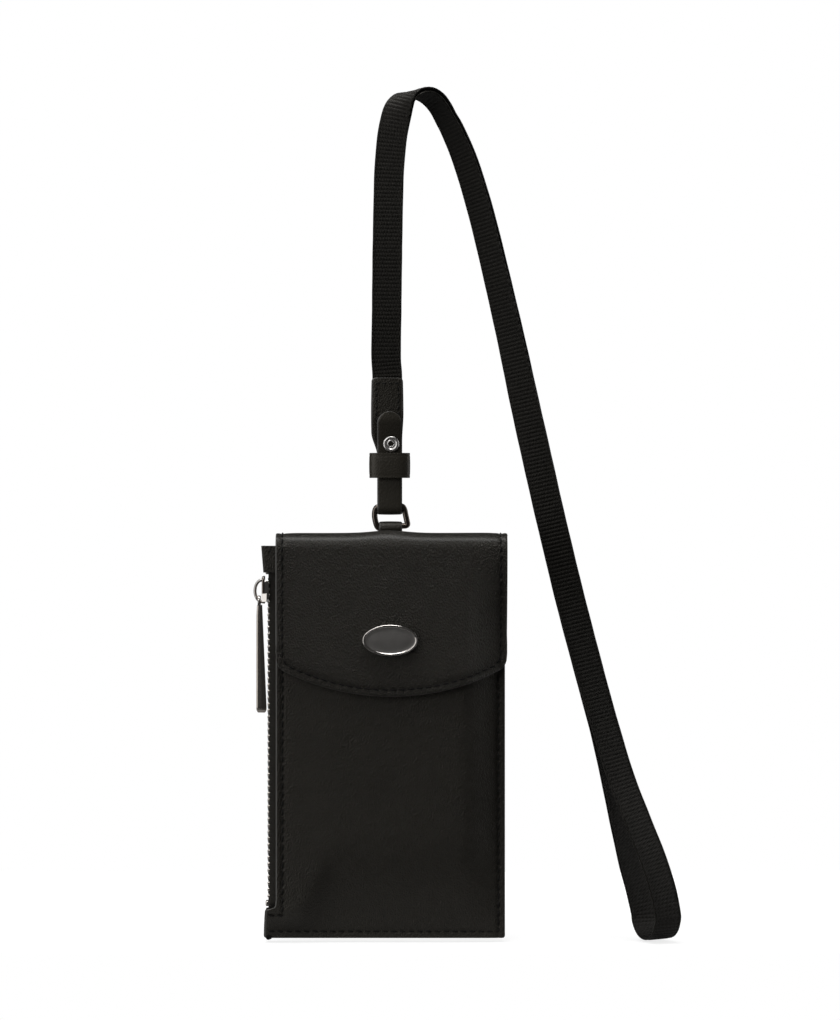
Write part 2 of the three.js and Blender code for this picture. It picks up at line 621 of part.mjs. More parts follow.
// The wide end over the webbing, narrowing to the strap's own width and ending at low.
function anchorOutline(low) {
  const half = ANCHOR_WIDTH / 2;
  const corner = ANCHOR_CORNER;
  const strapHalf = TAB_WIDTH / 2;
  const [narrowLow, narrowMid, narrowHigh] = ANCHOR_NARROW;
  const outline = new THREE.Shape();
  outline.moveTo(STRAP_X - strapHalf, low);
  outline.lineTo(STRAP_X + strapHalf, low);
  outline.lineTo(STRAP_X + strapHalf, narrowLow);
  outline.quadraticCurveTo(ANCHOR_X + half, narrowMid, ANCHOR_X + half, narrowHigh);
  outline.absarc(ANCHOR_X + half - corner, ANCHOR_TOP - corner, corner, 0, Math.PI / 2);
  outline.absarc(ANCHOR_X - half + corner, ANCHOR_TOP - corner, corner, Math.PI / 2, Math.PI);
  outline.lineTo(ANCHOR_X - half, narrowHigh);
  outline.quadraticCurveTo(ANCHOR_X - half, narrowMid, STRAP_X - strapHalf, narrowLow);
  return outline;
}

function addStrapCover() {
  const [frontLow, frontHigh] = COVER_BEND;
  const [backLow, backHigh] = COVER_BEND_BACK;
  const back = COVER_FRONT + STRAP_LEATHER;
  const half = STRAP_LEATHER / 2;
  const profile = polygon([
    [COVER_FRONT, ANCHOR_TOP + 1], [COVER_FRONT, frontHigh], [-half, frontLow], [-half, COVER_LOW],
    [half, COVER_LOW], [half, backLow], [back, backHigh], [back, ANCHOR_TOP + 1],
  ]);
  const band = alongX(profile, ANCHOR_X - ANCHOR_WIDTH, ANCHOR_X + ANCHOR_WIDTH);
  const cover = common(band, alongY(anchorOutline(COVER_LOW - 0.5), -10, 10));
  place("strap_cover", cut(cover, screwHole()), leatherLook);
}

// Lathe profiles are [radius, y] pairs, listed so that the faces point out.
function turned(profile, sides = 24) {
  const points = profile.map(([radius, y]) => new THREE.Vector2(radius, y));
  return new THREE.LatheGeometry(points, sides).translate(SCREW_X, 0, SCREW_Z);
}

function addScrew() {
  const back = FOLD_OUTER + CLEARANCE / 2;
  const boreEnd = THREAD_END + CLEARANCE;
  place("stud_post", turned([
    [0, boreEnd], [POST_BORE, boreEnd], [POST_BORE, POST_FRONT], [POST_RADIUS, POST_FRONT],
    [POST_RADIUS, back], [SCREW_HEAD, back],
    [SCREW_HEAD, back + 0.5], [2.1, back + 0.9], [0, back + 0.9],
  ]), polishedLook);
  const front = -FOLD_OUTER - CLEARANCE / 2;
  place("stud_screw", turned([
    [0, front - 0.5], [0.9, front - 0.5], [1.1, front - 1.05], [2.1, front - 1.0],
    [SCREW_HEAD, front - 0.45], [SCREW_HEAD, front],
    [SCREW_SHANK, front], [SCREW_SHANK, THREAD_END], [0, THREAD_END],
  ]), polishedLook);
}

function addKeeper() {
  const { top, length, halfWidth, halfDepth, wall, corner } = KEEPER;
  const ring = rounded(STRAP_X, 0, halfWidth, halfDepth, corner);
  ring.holes.push(rounded(STRAP_X, 0, halfWidth - wall, halfDepth - wall, corner - wall));
  place("strap_keeper", alongZ(ring, top - length, top, 5), leatherLook);
}

// ---- Neck strap ---------------------------------------------------------------------------

// The doubled strap's middle line, from the leather anchor over the top fold and down to the bottom
// loop: place, yaw of the webbing's width in degrees, and distance between its two plies.
const STRAP_ROUTE = [
  [-10.9, -0.65, -104.3, 0, 1.7],
  [-10.9, -0.65, -91.0, 0, 1.7],
  [-11.3, -1.0, -83.7, 0, 2.2],
  [-11.1, -1.5, -69.0, 0, 4.2],
  [-10.9, -2.0, -54.0, 0, 4.8],
  [-10.7, -2.5, -39.0, 0, 4.4],
  [-10.3, -2.9, -24.0, -1, 3.0],
  [-9.5, -3.2, -13.5, -3, 2.1],
  [-8.5, -3.3, -7.0, -8, 1.9],
  [-7.2, -3.0, -2.0, -18, 1.9],
  [-5.2, -2.2, 1.4, -33, 1.9],
  [-2.6, -1.1, 3.1, -45, 1.9],
  [0.0, 0.0, 3.6, -52, 1.9],
  [2.6, 1.1, 3.1, -55, 1.9],
  [5.0, 2.0, 1.4, -56, 1.9],
  [7.0, 2.7, -1.2, -56, 1.8],
  [8.7, 3.2, -4.4, -55, 1.7],
  [11.0, 3.6, -8.7, -53, 1.7],
  [15.2, 4.0, -18.7, -49, 1.7],
  [19.8, 4.0, -33.7, -46, 1.7],
  [24.8, 3.5, -53.7, -43, 1.7],
  [29.4, 3.0, -73.7, -38, 1.7],
  [34.8, 2.0, -98.7, -29, 1.7],
  [40.3, 1.0, -123.7, -16, 1.7],
  [46.1, 0.0, -148.7, -2, 1.7],
  [51.8, -1.0, -172.0, 8, 1.7],
  [57.1, -2.0, -192.0, 14, 1.8],
  [61.4, -2.8, -208.0, 18, 2.6],
  [65.6, -3.3, -224.0, 21, 5.8],
  [69.9, -3.8, -238.7, 24, 11.2],
  [73.9, -4.2, -252.0, 25, 15.8],
  [76.7, -4.5, -261.5, 25, 17.2],
  [78.5, -4.6, -268.6, 25, 17.2],
];
const LOOP_STEPS = 8;

// Each stop on the strap's one long strip: its place and the direction of its width.
function strapStops() {
  const line = new THREE.CatmullRomCurve3(
    STRAP_ROUTE.map(([x, y, z]) => new THREE.Vector3(x, y, z)));
  const rows = STRAP_ROUTE.map(([x, y, z, yaw, plies], i) => {
    const along = line.getTangent(i / (STRAP_ROUTE.length - 1));
    const turn = THREE.MathUtils.degToRad(yaw);
    const width = new THREE.Vector3(Math.cos(turn), Math.sin(turn), 0);
    width.addScaledVector(along, -width.dot(along)).normalize();
    const out = new THREE.Vector3().crossVectors(width, along);
    return { place: new THREE.Vector3(x, y, z), along, width, out, half: plies / 2 };
  });
  const ply = (row, side) => ({
    place: row.place.clone().addScaledVector(row.out, side * row.half),
    width: row.width,
  });
  const last = rows[rows.length - 1];
  const loop = [];
  for (let i = 1; i < LOOP_STEPS; i += 1) {
    const turn = (Math.PI * i) / LOOP_STEPS;
    loop.push({
      place: last.place.clone()
        .addScaledVector(last.out, last.half * Math.cos(turn))
        .addScaledVector(last.along, last.half * Math.sin(turn)),
      width: last.width,
    });
  }
  return [
    ...rows.map((row) => ply(row, 1)),
    ...loop,
    ...rows.slice().reverse().map((row) => ply(row, -1)),
  ];
}

// A strip's path with its width held in a chosen direction at every stop.
class StripPath extends THREE.Curve {
  constructor(stops) {
    super();
    this.stops = stops;
  }

  getSpacedPoints() {
    return this.stops.map((stop) => stop.place);
  }

  computeFrenetFrames() {
    const tangents = this.stops.map((stop, i) => {
      const before = this.stops[Math.max(i - 1, 0)].place;
      const after = this.stops[Math.min(i + 1, this.stops.length - 1)].place;
      return after.clone().sub(before).normalize();
    });
    const normals = this.stops.map((stop, i) =>
      stop.width.clone().addScaledVector(tangents[i], -stop.width.dot(tangents[i])).normalize());
    const binormals = tangents.map((t, i) => new THREE.Vector3().crossVectors(t, normals[i]));
    return { tangents, normals, binormals };
  }
}

function addNeckStrap() {
  const [w, t, c] = [WEB_WIDTH / 2, WEB_THICK / 2, WEB_CHAMFER];
  const section = polygon([
    [w, c - t], [w, t - c], [w - c, t], [c - w, t], [-w, t - c], [-w, c - t], [c - w, -t], [w - c, -t],
  ]);
  const stops = strapStops();
  const strip = new THREE.ExtrudeGeometry(
    section, { steps: stops.length - 1, extrudePath: new StripPath(stops) });
  place("neck_strap", strip, webbingLook);
}

addLayers();
addFlap();
addBackPanel();
addZipHalf("back", 1, 0);
addZipHalf("front", -1, TOOTH_PITCH / 2);
addZipStops();
addSlider();
addPuller();
addZipEndTab();
addRing();
addRingTab();
addStrapTab();
addStrapCover();
addScrew();
addKeeper();
addNeckStrap();

export default wallet;
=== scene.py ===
"""A neck pouch wallet in black leather, with a flap, a side zip and a doubled webbing neck strap.

Metres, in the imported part's own frame: the front faces -Y and +Z is up. Each leather, lining and
tape piece is a thin sheet made from a grid of points on its outer face.
"""

import math

import bpy
import bmesh
import numpy as np
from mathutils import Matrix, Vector


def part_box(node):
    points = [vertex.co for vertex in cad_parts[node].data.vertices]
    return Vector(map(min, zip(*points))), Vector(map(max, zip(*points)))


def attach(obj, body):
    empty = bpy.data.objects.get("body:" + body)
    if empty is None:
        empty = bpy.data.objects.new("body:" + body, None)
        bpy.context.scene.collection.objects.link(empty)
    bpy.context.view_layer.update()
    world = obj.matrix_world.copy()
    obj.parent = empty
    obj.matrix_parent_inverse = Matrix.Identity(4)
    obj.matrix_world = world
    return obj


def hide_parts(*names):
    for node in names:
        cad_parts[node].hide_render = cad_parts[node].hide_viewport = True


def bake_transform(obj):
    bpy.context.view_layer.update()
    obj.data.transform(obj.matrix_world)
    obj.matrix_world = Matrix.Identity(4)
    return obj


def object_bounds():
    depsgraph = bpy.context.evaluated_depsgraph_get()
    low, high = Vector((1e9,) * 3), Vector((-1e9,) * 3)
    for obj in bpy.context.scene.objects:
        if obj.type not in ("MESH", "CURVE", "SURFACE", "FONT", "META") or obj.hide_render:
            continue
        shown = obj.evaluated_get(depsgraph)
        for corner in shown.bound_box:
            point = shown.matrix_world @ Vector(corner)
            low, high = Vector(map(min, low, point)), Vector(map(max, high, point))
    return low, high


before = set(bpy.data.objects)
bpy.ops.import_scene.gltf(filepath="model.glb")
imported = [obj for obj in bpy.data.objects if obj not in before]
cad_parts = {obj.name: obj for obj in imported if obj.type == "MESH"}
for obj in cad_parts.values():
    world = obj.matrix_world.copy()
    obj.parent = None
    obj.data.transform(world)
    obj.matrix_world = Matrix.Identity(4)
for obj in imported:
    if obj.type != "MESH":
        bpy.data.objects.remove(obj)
cad_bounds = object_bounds()

MM = 0.001

# ---- Places taken from the frame ----------------------------------------------------------

FLAP_LOW, FLAP_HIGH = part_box("flap")
PANEL_LOW, PANEL_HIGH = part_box("front_panel")
COVER_LOW, COVER_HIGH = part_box("strap_cover")
KEEPER_LOW, KEEPER_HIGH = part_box("strap_keeper")
RING_LOW, RING_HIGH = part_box("d_ring")
SLIDER_LOW, SLIDER_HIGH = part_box("zip_slider")
SCREW_LOW, SCREW_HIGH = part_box("stud_screw")

# Sheets
LEATHER = 1.2 * MM
FLAP_LEATHER = 1.1 * MM
LINING = 0.4 * MM
DIVIDER = 0.6 * MM
GAP = 0.2 * MM
STRAP_LEATHER = 1.0 * MM
SKIN_RIM = 0.24 * MM
LINING_RIM = 0.12 * MM

# Pouch
FLAP_LEFT = FLAP_LOW.x + 0.6 * MM
FLAP_RIGHT = FLAP_HIGH.x
FLAP_X = (FLAP_LEFT + FLAP_RIGHT) / 2
PANEL_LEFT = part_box("front_lining")[0].x - 1.2 * MM
PANEL_RIGHT = PANEL_HIGH.x
CORNER_LEFT = PANEL_LOW.x - 0.35 * MM
POUCH_BOTTOM = PANEL_LOW.z
NOTCH_BOTTOM = POUCH_BOTTOM + 10 * MM
NOTCH_RADIUS = 2 * MM
CORNER_RADIUS = 0.8 * MM
MOUTH_Z = PANEL_HIGH.z
BACK_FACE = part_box("back_panel")[1].y
FLAP_FACE = FLAP_LOW.y
FOLD_RISE = 5.2 * MM
RING_SWELL = 0.8 * MM
RING_SWELL_HALF = 7.5 * MM
FOLD_Z = MOUTH_Z - 0.4 * MM
FOLD_Y = (BACK_FACE + FLAP_FACE) / 2
FOLD_HALF = (BACK_FACE - FLAP_FACE) / 2
FLAP_LOW_Z = FLAP_LOW.z
FLAP_ARC = 80 * MM
FLAP_SIDE_Z = FLAP_LOW_Z + 13.9 * MM
FLAP_SKIN = 2.3 * MM
FLAP_FOLLOW = 30 * MM
FLAP_CORNER = 3 * MM
FLAP_CORNER_RISE = 1.2 * MM

# How the pockets open from the seams inwards
ZIP_SPREAD = 4.6 * MM
ZIP_POCKET = 0.8 * MM
FLAP_POCKET = 4.1 * MM
TAPE_COVER = 7 * MM
SIDE_EASE = 14 * MM
BOTTOM_EASE = 10 * MM
BOTTOM_EASE_MORE = 24 * MM

# Seams
SEAM_INSET = 2.2 * MM
STITCH_PITCH = 2.9 * MM
THREAD = 0.24 * MM
THREAD_SINK = 0.28 * MM

# Zip
ZIP_Y = (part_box("zip_tape_front")[0].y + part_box("zip_tape_back")[1].y) / 2
SLIDER_FACE = SLIDER_HIGH.x - 2.4 * MM
TOOTH_PITCH = 2.117 * MM
PULLER_LOW, PULLER_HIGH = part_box("zip_puller")
PULLER_EYE_Z = PULLER_HIGH.z - 1.7 * MM

# Straps
STRAP_X = (KEEPER_LOW.x + KEEPER_HIGH.x) / 2
ANCHOR_X = (COVER_LOW.x + COVER_HIGH.x) / 2
ANCHOR_HALF = (COVER_HIGH.x - COVER_LOW.x) / 2
STRAP_HALF = 4.15 * MM
STRAP_PITCH = 2.1 * MM
STRAP_THREAD = 0.2 * MM
SCREW_Z = (SCREW_LOW.z + SCREW_HIGH.z) / 2
LEAF_TIP_Z = SCREW_Z + 10.8 * MM
LEAF_BEND_Z = SCREW_Z + 7.8 * MM
LEAVES_MEET_Z = SCREW_Z - 3.7 * MM
PLAIN_STRAP_Z = SCREW_Z - 6.7 * MM
COVER_BEND_Z = SCREW_Z + 8.4 * MM
NARROW_LEFT_Z = SCREW_Z + 3.8 * MM
NARROW_RIGHT_Z = SCREW_Z + 10.3 * MM
RING_WIRE = RING_HIGH.y
RING_BAR_Z = RING_LOW.z + RING_WIRE
RING_X = (RING_LOW.x + RING_HIGH.x) / 2


# ---- Camera -------------------------------------------------------------------------------


def in_scene(name, data):
    """A new object in the scene, made from a mesh, a light or a camera."""
    thing = bpy.data.objects.new(name, data)
    bpy.context.scene.collection.objects.link(thing)
    return thing


def aim(thing, place, target):
    """Put a light or a camera at a place and turn it to the target."""
    thing.location = place
    thing.rotation_euler = (Vector(target) - Vector(place)).to_track_quat("-Z", "Y").to_euler()


VIEW_Z = -135.3 * MM


def make_camera():
    """A long lens straight in front, at the height of the object's middle."""
    data = bpy.data.cameras.new("camera")
    data.lens = 135
    data.sensor_width = 36
    view_height = 340 * MM
    distance = view_height * data.lens / data.sensor_width
    middle = Vector((0, 0, VIEW_Z))
    camera = in_scene("camera", data)
    aim(camera, middle - Vector((0, distance, 0)), middle)
    bpy.context.scene.camera = camera


make_camera()

# ---- Strap route --------------------------------------------------------------------------

# The doubled strap's middle line, from the leather anchor over the top fold and down to the bottom
# loop: place, yaw of the webbing's width in degrees, and distance between its two plies.
STRAP_ROUTE = [
    (-0.0109, -0.00065, -0.1043, 0, 0.0017),
    (-0.0109, -0.00065, -0.0910, 0, 0.0017),
    (-0.0113, -0.0010, -0.0837, 0, 0.0022),
    (-0.0111, -0.0015, -0.0690, 0, 0.0042),
    (-0.0109, -0.0020, -0.0540, 0, 0.0048),
    (-0.0107, -0.0025, -0.0390, 0, 0.0044),
    (-0.0103, -0.0029, -0.0240, -1, 0.0030),
    (-0.0095, -0.0032, -0.0135, -3, 0.0021),
    (-0.0085, -0.0033, -0.0070, -8, 0.0019),
    (-0.0072, -0.0030, -0.0020, -18, 0.0019),
    (-0.0052, -0.0022, 0.0014, -30, 0.0019),
    (-0.0026, -0.0011, 0.0031, -40, 0.0019),
    (0.0000, 0.0000, 0.0036, -46, 0.0019),
    (0.0026, 0.0011, 0.0031, -48, 0.0019),
    (0.0050, 0.0020, 0.0014, -49, 0.0019),
    (0.0070, 0.0027, -0.0012, -49, 0.0018),
    (0.0087, 0.0032, -0.0044, -48, 0.0017),
    (0.0110, 0.0036, -0.0087, -46, 0.0017),
    (0.0152, 0.0040, -0.0187, -42, 0.0017),
    (0.0198, 0.0040, -0.0337, -39, 0.0017),
    (0.0248, 0.0035, -0.0537, -36, 0.0017),
    (0.0294, 0.0030, -0.0737, -31, 0.0017),
    (0.0348, 0.0020, -0.0987, -20, 0.0017),
    (0.0403, 0.0010, -0.1237, -8, 0.0017),
    (0.0461, 0.0000, -0.1487, -2, 0.0017),
    (0.0518, -0.0010, -0.1720, 8, 0.0017),
    (0.0571, -0.0020, -0.1920, 14, 0.0018),
    (0.0614, -0.0028, -0.2080, 18, 0.0026),
    (0.0656, -0.0033, -0.2240, 21, 0.0058),
    (0.0699, -0.0038, -0.2387, 24, 0.0112),
    (0.0739, -0.0042, -0.2520, 25, 0.0158),
    (0.0767, -0.0045, -0.2615, 25, 0.0172),
    (0.0783, -0.0046, -0.2690, 25, 0.0172),
]
LOOP_STEPS = 8
LOOP_TOP_Z = -0.255
WEB_HALF = 5 * MM
WEB_THICK = 1.0 * MM
PLY_CLOSER = 0.4 * MM
RIB_PITCH = 1.3 * MM


def ease(t):
    """A smooth step from 0 to 1."""
    t = np.clip(t, 0, 1)
    return t * t * (3 - 2 * t)


def matched(a, b):
    """Two numbers or arrays of numbers as arrays of one shape."""
    return np.broadcast_arrays(np.asarray(a, float), np.asarray(b, float))


def unit(vectors):
    return vectors / np.linalg.norm(vectors, axis=-1, keepdims=True)


def ways_along(points):
    """The way along a line at each of its points."""
    steps = np.linalg.norm(np.diff(points, axis=0), axis=1)
    return np.concatenate([[0], np.cumsum(steps)])


def at_ways(wanted, ways, values):
    """Rows of values, which are known at the ways, at the wanted ways."""
    return np.stack([np.interp(wanted, ways, column) for column in values.T], axis=1)


def square_to(width, along):
    """The part of width that is square to along, as unit vectors."""
    return unit(width - along * np.sum(width * along, axis=1, keepdims=True))


def strap_stops():
    """Places along the one long strip of webbing, and the direction of its width at each."""
    route = np.array(STRAP_ROUTE)
    places = route[:, :3]
    along = unit(np.gradient(places, axis=0))
    # The bottom loop hangs straight down, whichever way the strap above it leans.
    level = 0.8 * ease((LOOP_TOP_Z - places[:, 2:3]) / (14 * MM))
    along = unit(along * (1 - level) + np.array([0, 0, -1.0]) * level)
    yaw = np.radians(route[:, 3])
    rise = 0.13 * np.exp(-((places[:, 2] - places[:, 2].max()) / (5 * MM)) ** 2)
    width = np.stack([np.cos(yaw), np.sin(yaw), rise], axis=1)
    width = square_to(width, along)
    apart = route[:, 4:5] - PLY_CLOSER
    out = np.cross(width, along) * (apart / 2)
    turn = np.pi * np.arange(1, LOOP_STEPS)[:, None] / LOOP_STEPS
    half = apart[-1, 0] / 2
    loop = places[-1] + out[-1] * np.cos(turn) + along[-1] * half * np.sin(turn)
    stops = np.concatenate([places + out, loop, (places - out)[::-1]])
    widths = np.concatenate([width, np.repeat(width[-1:], LOOP_STEPS - 1, axis=0), width[::-1]])
    return stops, widths


CATMULL_ROM = np.array([(-0.5, 1, -0.5, 0), (1.5, -2.5, 0, 1), (-1.5, 2, 0.5, 0), (0.5, -0.5, 0, 0)])


def smooth_through(stops, extra, spacing):
    """Catmull-Rom curve through the stops, at even spacing, with extra carried along."""
    before = 2 * stops[0] - stops[1]
    beyond = 2 * stops[-1] - stops[-2]
    knots = np.concatenate([[before], stops, [beyond]])
    extras = np.concatenate([extra[:1], extra, extra[-1:]])
    fine = []
    carried = []
    for i in range(1, len(knots) - 2):
        for t in np.linspace(0, 1, 24, endpoint=False):
            basis = CATMULL_ROM @ (t**3, t**2, t, 1)
            fine.append(basis @ knots[i - 1:i + 3])
            carried.append(basis @ extras[i - 1:i + 3])
    fine = np.array(fine + [stops[-1]])
    carried = np.array(carried + [extra[-1]])
    ways = ways_along(fine)
    even = np.linspace(0, ways[-1], int(ways[-1] / spacing) + 1)
    return at_ways(even, ways, fine), at_ways(even, ways, carried), even


# ---- Materials ----------------------------------------------------------------------------


WARM = (1.0, 0.95, 0.86, 1.0)


class Nodes:
    """A new material's node tree, with short ways to add and join nodes."""

    def __init__(self, name):
        self.material = bpy.data.materials.new(name)
        self.material.use_nodes = True
        self.tree = self.material.node_tree
        self.shader = self.tree.nodes["Principled BSDF"]

    def add(self, kind, **settings):
        node = self.tree.nodes.new("ShaderNode" + kind)
        for key, value in settings.items():
            setattr(node, key, value)
        return node

    def join(self, source, target):
        self.tree.links.new(source, target)

    def set(self, node, where, **numbers):
        """Join a texture node to its places and set its numbers."""
        self.join(where, node.inputs["Vector"])
        for socket, number in numbers.items():
            node.inputs[socket].default_value = number

    def value(self, socket, number):
        self.shader.inputs[socket].default_value = number

    def roughness(self, factor, low, high):
        self.join(self.spread(factor, low, high), self.shader.inputs["Roughness"])

    def place(self, scale=(1, 1, 1), uv=False):
        """Positions in millimetres, or the sheet's own (across, along) if uv is set."""
        source = self.add("UVMap", uv_map="strip").outputs["UV"] if uv else None
        if source is None:
            source = self.add("TexCoord").outputs["Object"]
        mapping = self.add("Mapping")
        mapping.inputs["Scale"].default_value = [1000 * s for s in scale]
        self.join(source, mapping.inputs["Vector"])
        return mapping.outputs["Vector"]

    def noise(self, where, scale, detail=3, rough=0.5):
        node = self.add("TexNoise")
        self.set(node, where, Scale=scale, Detail=detail, Roughness=rough)
        return node.outputs["Fac"]

    def cells(self, where, scale):
        node = self.add("TexVoronoi", feature="F1")
        self.set(node, where, Scale=scale)
        return node.outputs["Distance"]

    def waves(self, where, scale, direction, distortion=0.0):
        node = self.add("TexWave", wave_type="BANDS", bands_direction=direction)
        self.set(node, where, Scale=scale, Distortion=distortion)
        return node.outputs["Fac"]

    def math(self, operation, a, b=0.5):
        node = self.add("Math", operation=operation)
        for socket, item in zip(node.inputs, (a, b)):
            if isinstance(item, (int, float)):
                socket.default_value = item
            else:
                self.join(item, socket)
        return node.outputs["Value"]

    def spread(self, factor, low, high):
        """factor from 0 to 1 as a number from low to high."""
        node = self.add("MapRange")
        node.inputs["To Min"].default_value = low
        node.inputs["To Max"].default_value = high
        self.join(factor, node.inputs["Value"])
        return node.outputs["Result"]

    def tint(self, factor, first, second):
        node = self.add("Mix", data_type="RGBA")
        node.inputs["A"].default_value = (*first, 1)
        node.inputs["B"].default_value = (*second, 1)
        self.join(factor, node.inputs["Factor"])
        self.join(node.outputs["Result"], self.shader.inputs["Base Color"])

    def bump(self, height, distance, strength=1.0, onto=None):
        node = self.add("Bump")
        node.inputs["Strength"].default_value = strength
        node.inputs["Distance"].default_value = distance
        self.join(height, node.inputs["Height"])
        if onto is not None:
            self.join(onto, node.inputs["Normal"])
        self.join(node.outputs["Normal"], self.shader.inputs["Normal"])
        return node.outputs["Normal"]


def leather_material(name, relief, tone=1.0):
    """Smooth black calf leather: fine pebbled grain, faint creases, a soft sheen."""
    m = Nodes(name)
    where = m.place()
    grain = m.cells(m.place((1.25, 1, 0.85)), 1.7)
    pores = m.noise(m.place((1.4, 1, 0.8)), 3.2, detail=5, rough=0.7)
    clouds = m.noise(where, 0.06, detail=4)
    dark = [tone * c for c in (0.0075, 0.0066, 0.0050)]
    light = [tone * c for c in (0.0215, 0.0192, 0.0148)]
    m.tint(m.math("MULTIPLY", clouds, pores), dark, light)
    shiniest = max(0.26, 0.34 + 0.08 * (1 - relief))
    m.roughness(clouds, shiniest, 0.46)
    m.value("Specular IOR Level", 0.42)
    m.value("Specular Tint", WARM)
    m.value("Coat Weight", 0.09 * relief)
    m.value("Coat Roughness", 0.3)
    grained = m.bump(grain, 0.24 * MM * relief, 1.0)
    m.bump(pores, 0.14 * MM * relief, 1.0, onto=grained)
    return m.material


def edge_material():
    """The painted, burnished cut edge of the leather, in a lighter grey: partly the edge paint's own
    colour, partly a painted highlight along the edge line.
    """
    m = Nodes("painted_edge_and_highlight")
    where = m.place()
    ripple = m.noise(where, 1.1, detail=3)
    m.tint(ripple, (0.034, 0.032, 0.028), (0.060, 0.056, 0.050))
    m.roughness(ripple, 0.24, 0.40)
    m.value("Specular IOR Level", 0.55)
    m.bump(ripple, 0.06 * MM, 0.4)
    return m.material


def lining_material():
    """A plain, tight black lining cloth."""
    m = Nodes("lining_cloth")
    where = m.place()
    across = m.waves(where, 1.4, "X", 0.3)
    down = m.waves(where, 1.4, "Z", 0.3)
    weave = m.math("MULTIPLY", across, down)
    m.tint(m.noise(where, 0.4, detail=4), (0.010, 0.010, 0.009), (0.024, 0.023, 0.022))
    m.roughness(weave, 0.9, 0.7)
    m.value("Sheen Weight", 0.15)
    m.bump(weave, 0.08 * MM, 0.6)
    return m.material


def webbing_material():
    """Black nylon webbing: each rib is a row of floating threads with a faint diagonal."""
    m = Nodes("ribbed_webbing")
    where = m.place(uv=True)
    split = m.add("SeparateXYZ")
    m.join(where, split.inputs["Vector"])
    row = m.math("FLOOR", m.math("MULTIPLY", split.outputs["Y"], MM / RIB_PITCH), 0)
    shift = m.math("MULTIPLY", m.math("MODULO", row, 2), 0.26)
    threads = m.math("SINE", m.math("MULTIPLY", m.math("ADD", split.outputs["X"], shift), 12.0), 0)
    height = m.math("MULTIPLY_ADD", threads, 0.5)
    fibres = m.noise(m.place((9, 1.2, 1), uv=True), 0.9, detail=3)
    worn = m.noise(m.place(uv=True), 0.35, detail=3)
    m.tint(m.math("MULTIPLY", fibres, worn), (0.0020, 0.0018, 0.0015), (0.0092, 0.0086, 0.0070))
    m.roughness(fibres, 0.36, 0.58)
    m.value("Specular IOR Level", 0.26)
    m.value("Specular Tint", WARM)
    m.value("Sheen Weight", 0.03)
    m.value("Sheen Roughness", 0.4)
    beads = m.bump(height, 0.12 * MM, 0.9)
    m.bump(fibres, 0.08 * MM, 0.8, onto=beads)
    return m.material


def tape_material():
    """Woven zip tape with a fine herringbone."""
    m = Nodes("zip_tape_cloth")
    where = m.place()
    twill = m.waves(where, 1.5, "DIAGONAL", 0.4)
    ribs = m.waves(where, 0.9, "Z", 0.2)
    weave = m.math("MULTIPLY", twill, ribs)
    m.tint(m.noise(where, 0.8, detail=3), (0.0055, 0.0048, 0.0040), (0.0150, 0.0132, 0.0108))
    m.roughness(weave, 0.85, 0.6)
    m.value("Specular Tint", WARM)
    m.value("Sheen Weight", 0.1)
    m.bump(weave, 0.12 * MM, 0.7)
    return m.material


def thread_material():
    """Waxed black sewing thread, its plies twisted."""
    m = Nodes("sewing_thread")
    where = m.place()
    twist = m.waves(where, 4.0, "DIAGONAL", 0.5)
    m.tint(twist, (0.0030, 0.0028, 0.0025), (0.0075, 0.0070, 0.0062))
    m.roughness(twist, 0.75, 0.6)
    m.value("Specular IOR Level", 0.25)
    m.bump(twist, 0.05 * MM, 0.6)
    return m.material


def metal_material(name, dark, light, rough, scratch=0.02):
    """Polished plate with faint hairlines and a few duller patches."""
    m = Nodes(name)
    where = m.place()
    patches = m.noise(where, 0.35, detail=3)
    hairlines = m.noise(m.place((6, 6, 0.4)), 1.0, detail=2)
    m.tint(patches, dark, light)
    m.value("Metallic", 1.0)
    mixed = m.math("MULTIPLY_ADD", hairlines, 0.5)
    m.roughness(mixed, rough, rough + 0.08)
    m.bump(hairlines, scratch * MM, 0.15)
    return m.material


leather = leather_material("black_leather", 1.0)
cover_leather = leather_material("cover_leather", 0.5, 1.15)
# A lighter copy of the leather for the strap and keeper: partly the strap's own lighter tone, partly
# painted light that lifts the shade on the down-tilted leaf.
strap_leather_with_painted_light = leather_material("strap_leather_with_painted_light", 0.25, 2.35)
flap_leather = leather_material("flap_leather", 2.2)
# The edge paint is lighter than the leather partly as a painted highlight along each leather edge.
edge_paint_and_highlight = edge_material()
lining_cloth = lining_material()
webbing_cloth = webbing_material()
tape_cloth = tape_material()
thread = thread_material()
ring_metal = metal_material("ring_metal", (0.085, 0.072, 0.062), (0.17, 0.145, 0.125), 0.13, 0.01)
polished = metal_material("polished_metal", (0.50, 0.47, 0.44), (0.64, 0.61, 0.58), 0.07, 0.008)
dark_metal = metal_material("dark_metal", (0.19, 0.165, 0.145), (0.32, 0.28, 0.25), 0.12, 0.01)
screw_metal = metal_material("screw_metal", (0.66, 0.64, 0.62), (0.84, 0.82, 0.80), 0.25, 0.01)
puller_metal = metal_material("puller_metal", (0.30, 0.27, 0.24), (0.40, 0.37, 0.34), 0.13, 0.01)
tooth_metal = metal_material("tooth_metal", (0.62, 0.57, 0.53), (0.80, 0.75, 0.70), 0.14, 0.01)
satin_metal = metal_material("satin_metal", (0.42, 0.40, 0.38), (0.56, 0.54, 0.52), 0.30, 0.02)
magnet_metal = metal_material("magnet_metal", (0.35, 0.35, 0.36), (0.5, 0.5, 0.5), 0.3, 0.05)


# ---- Mesh helpers -------------------------------------------------------------------------


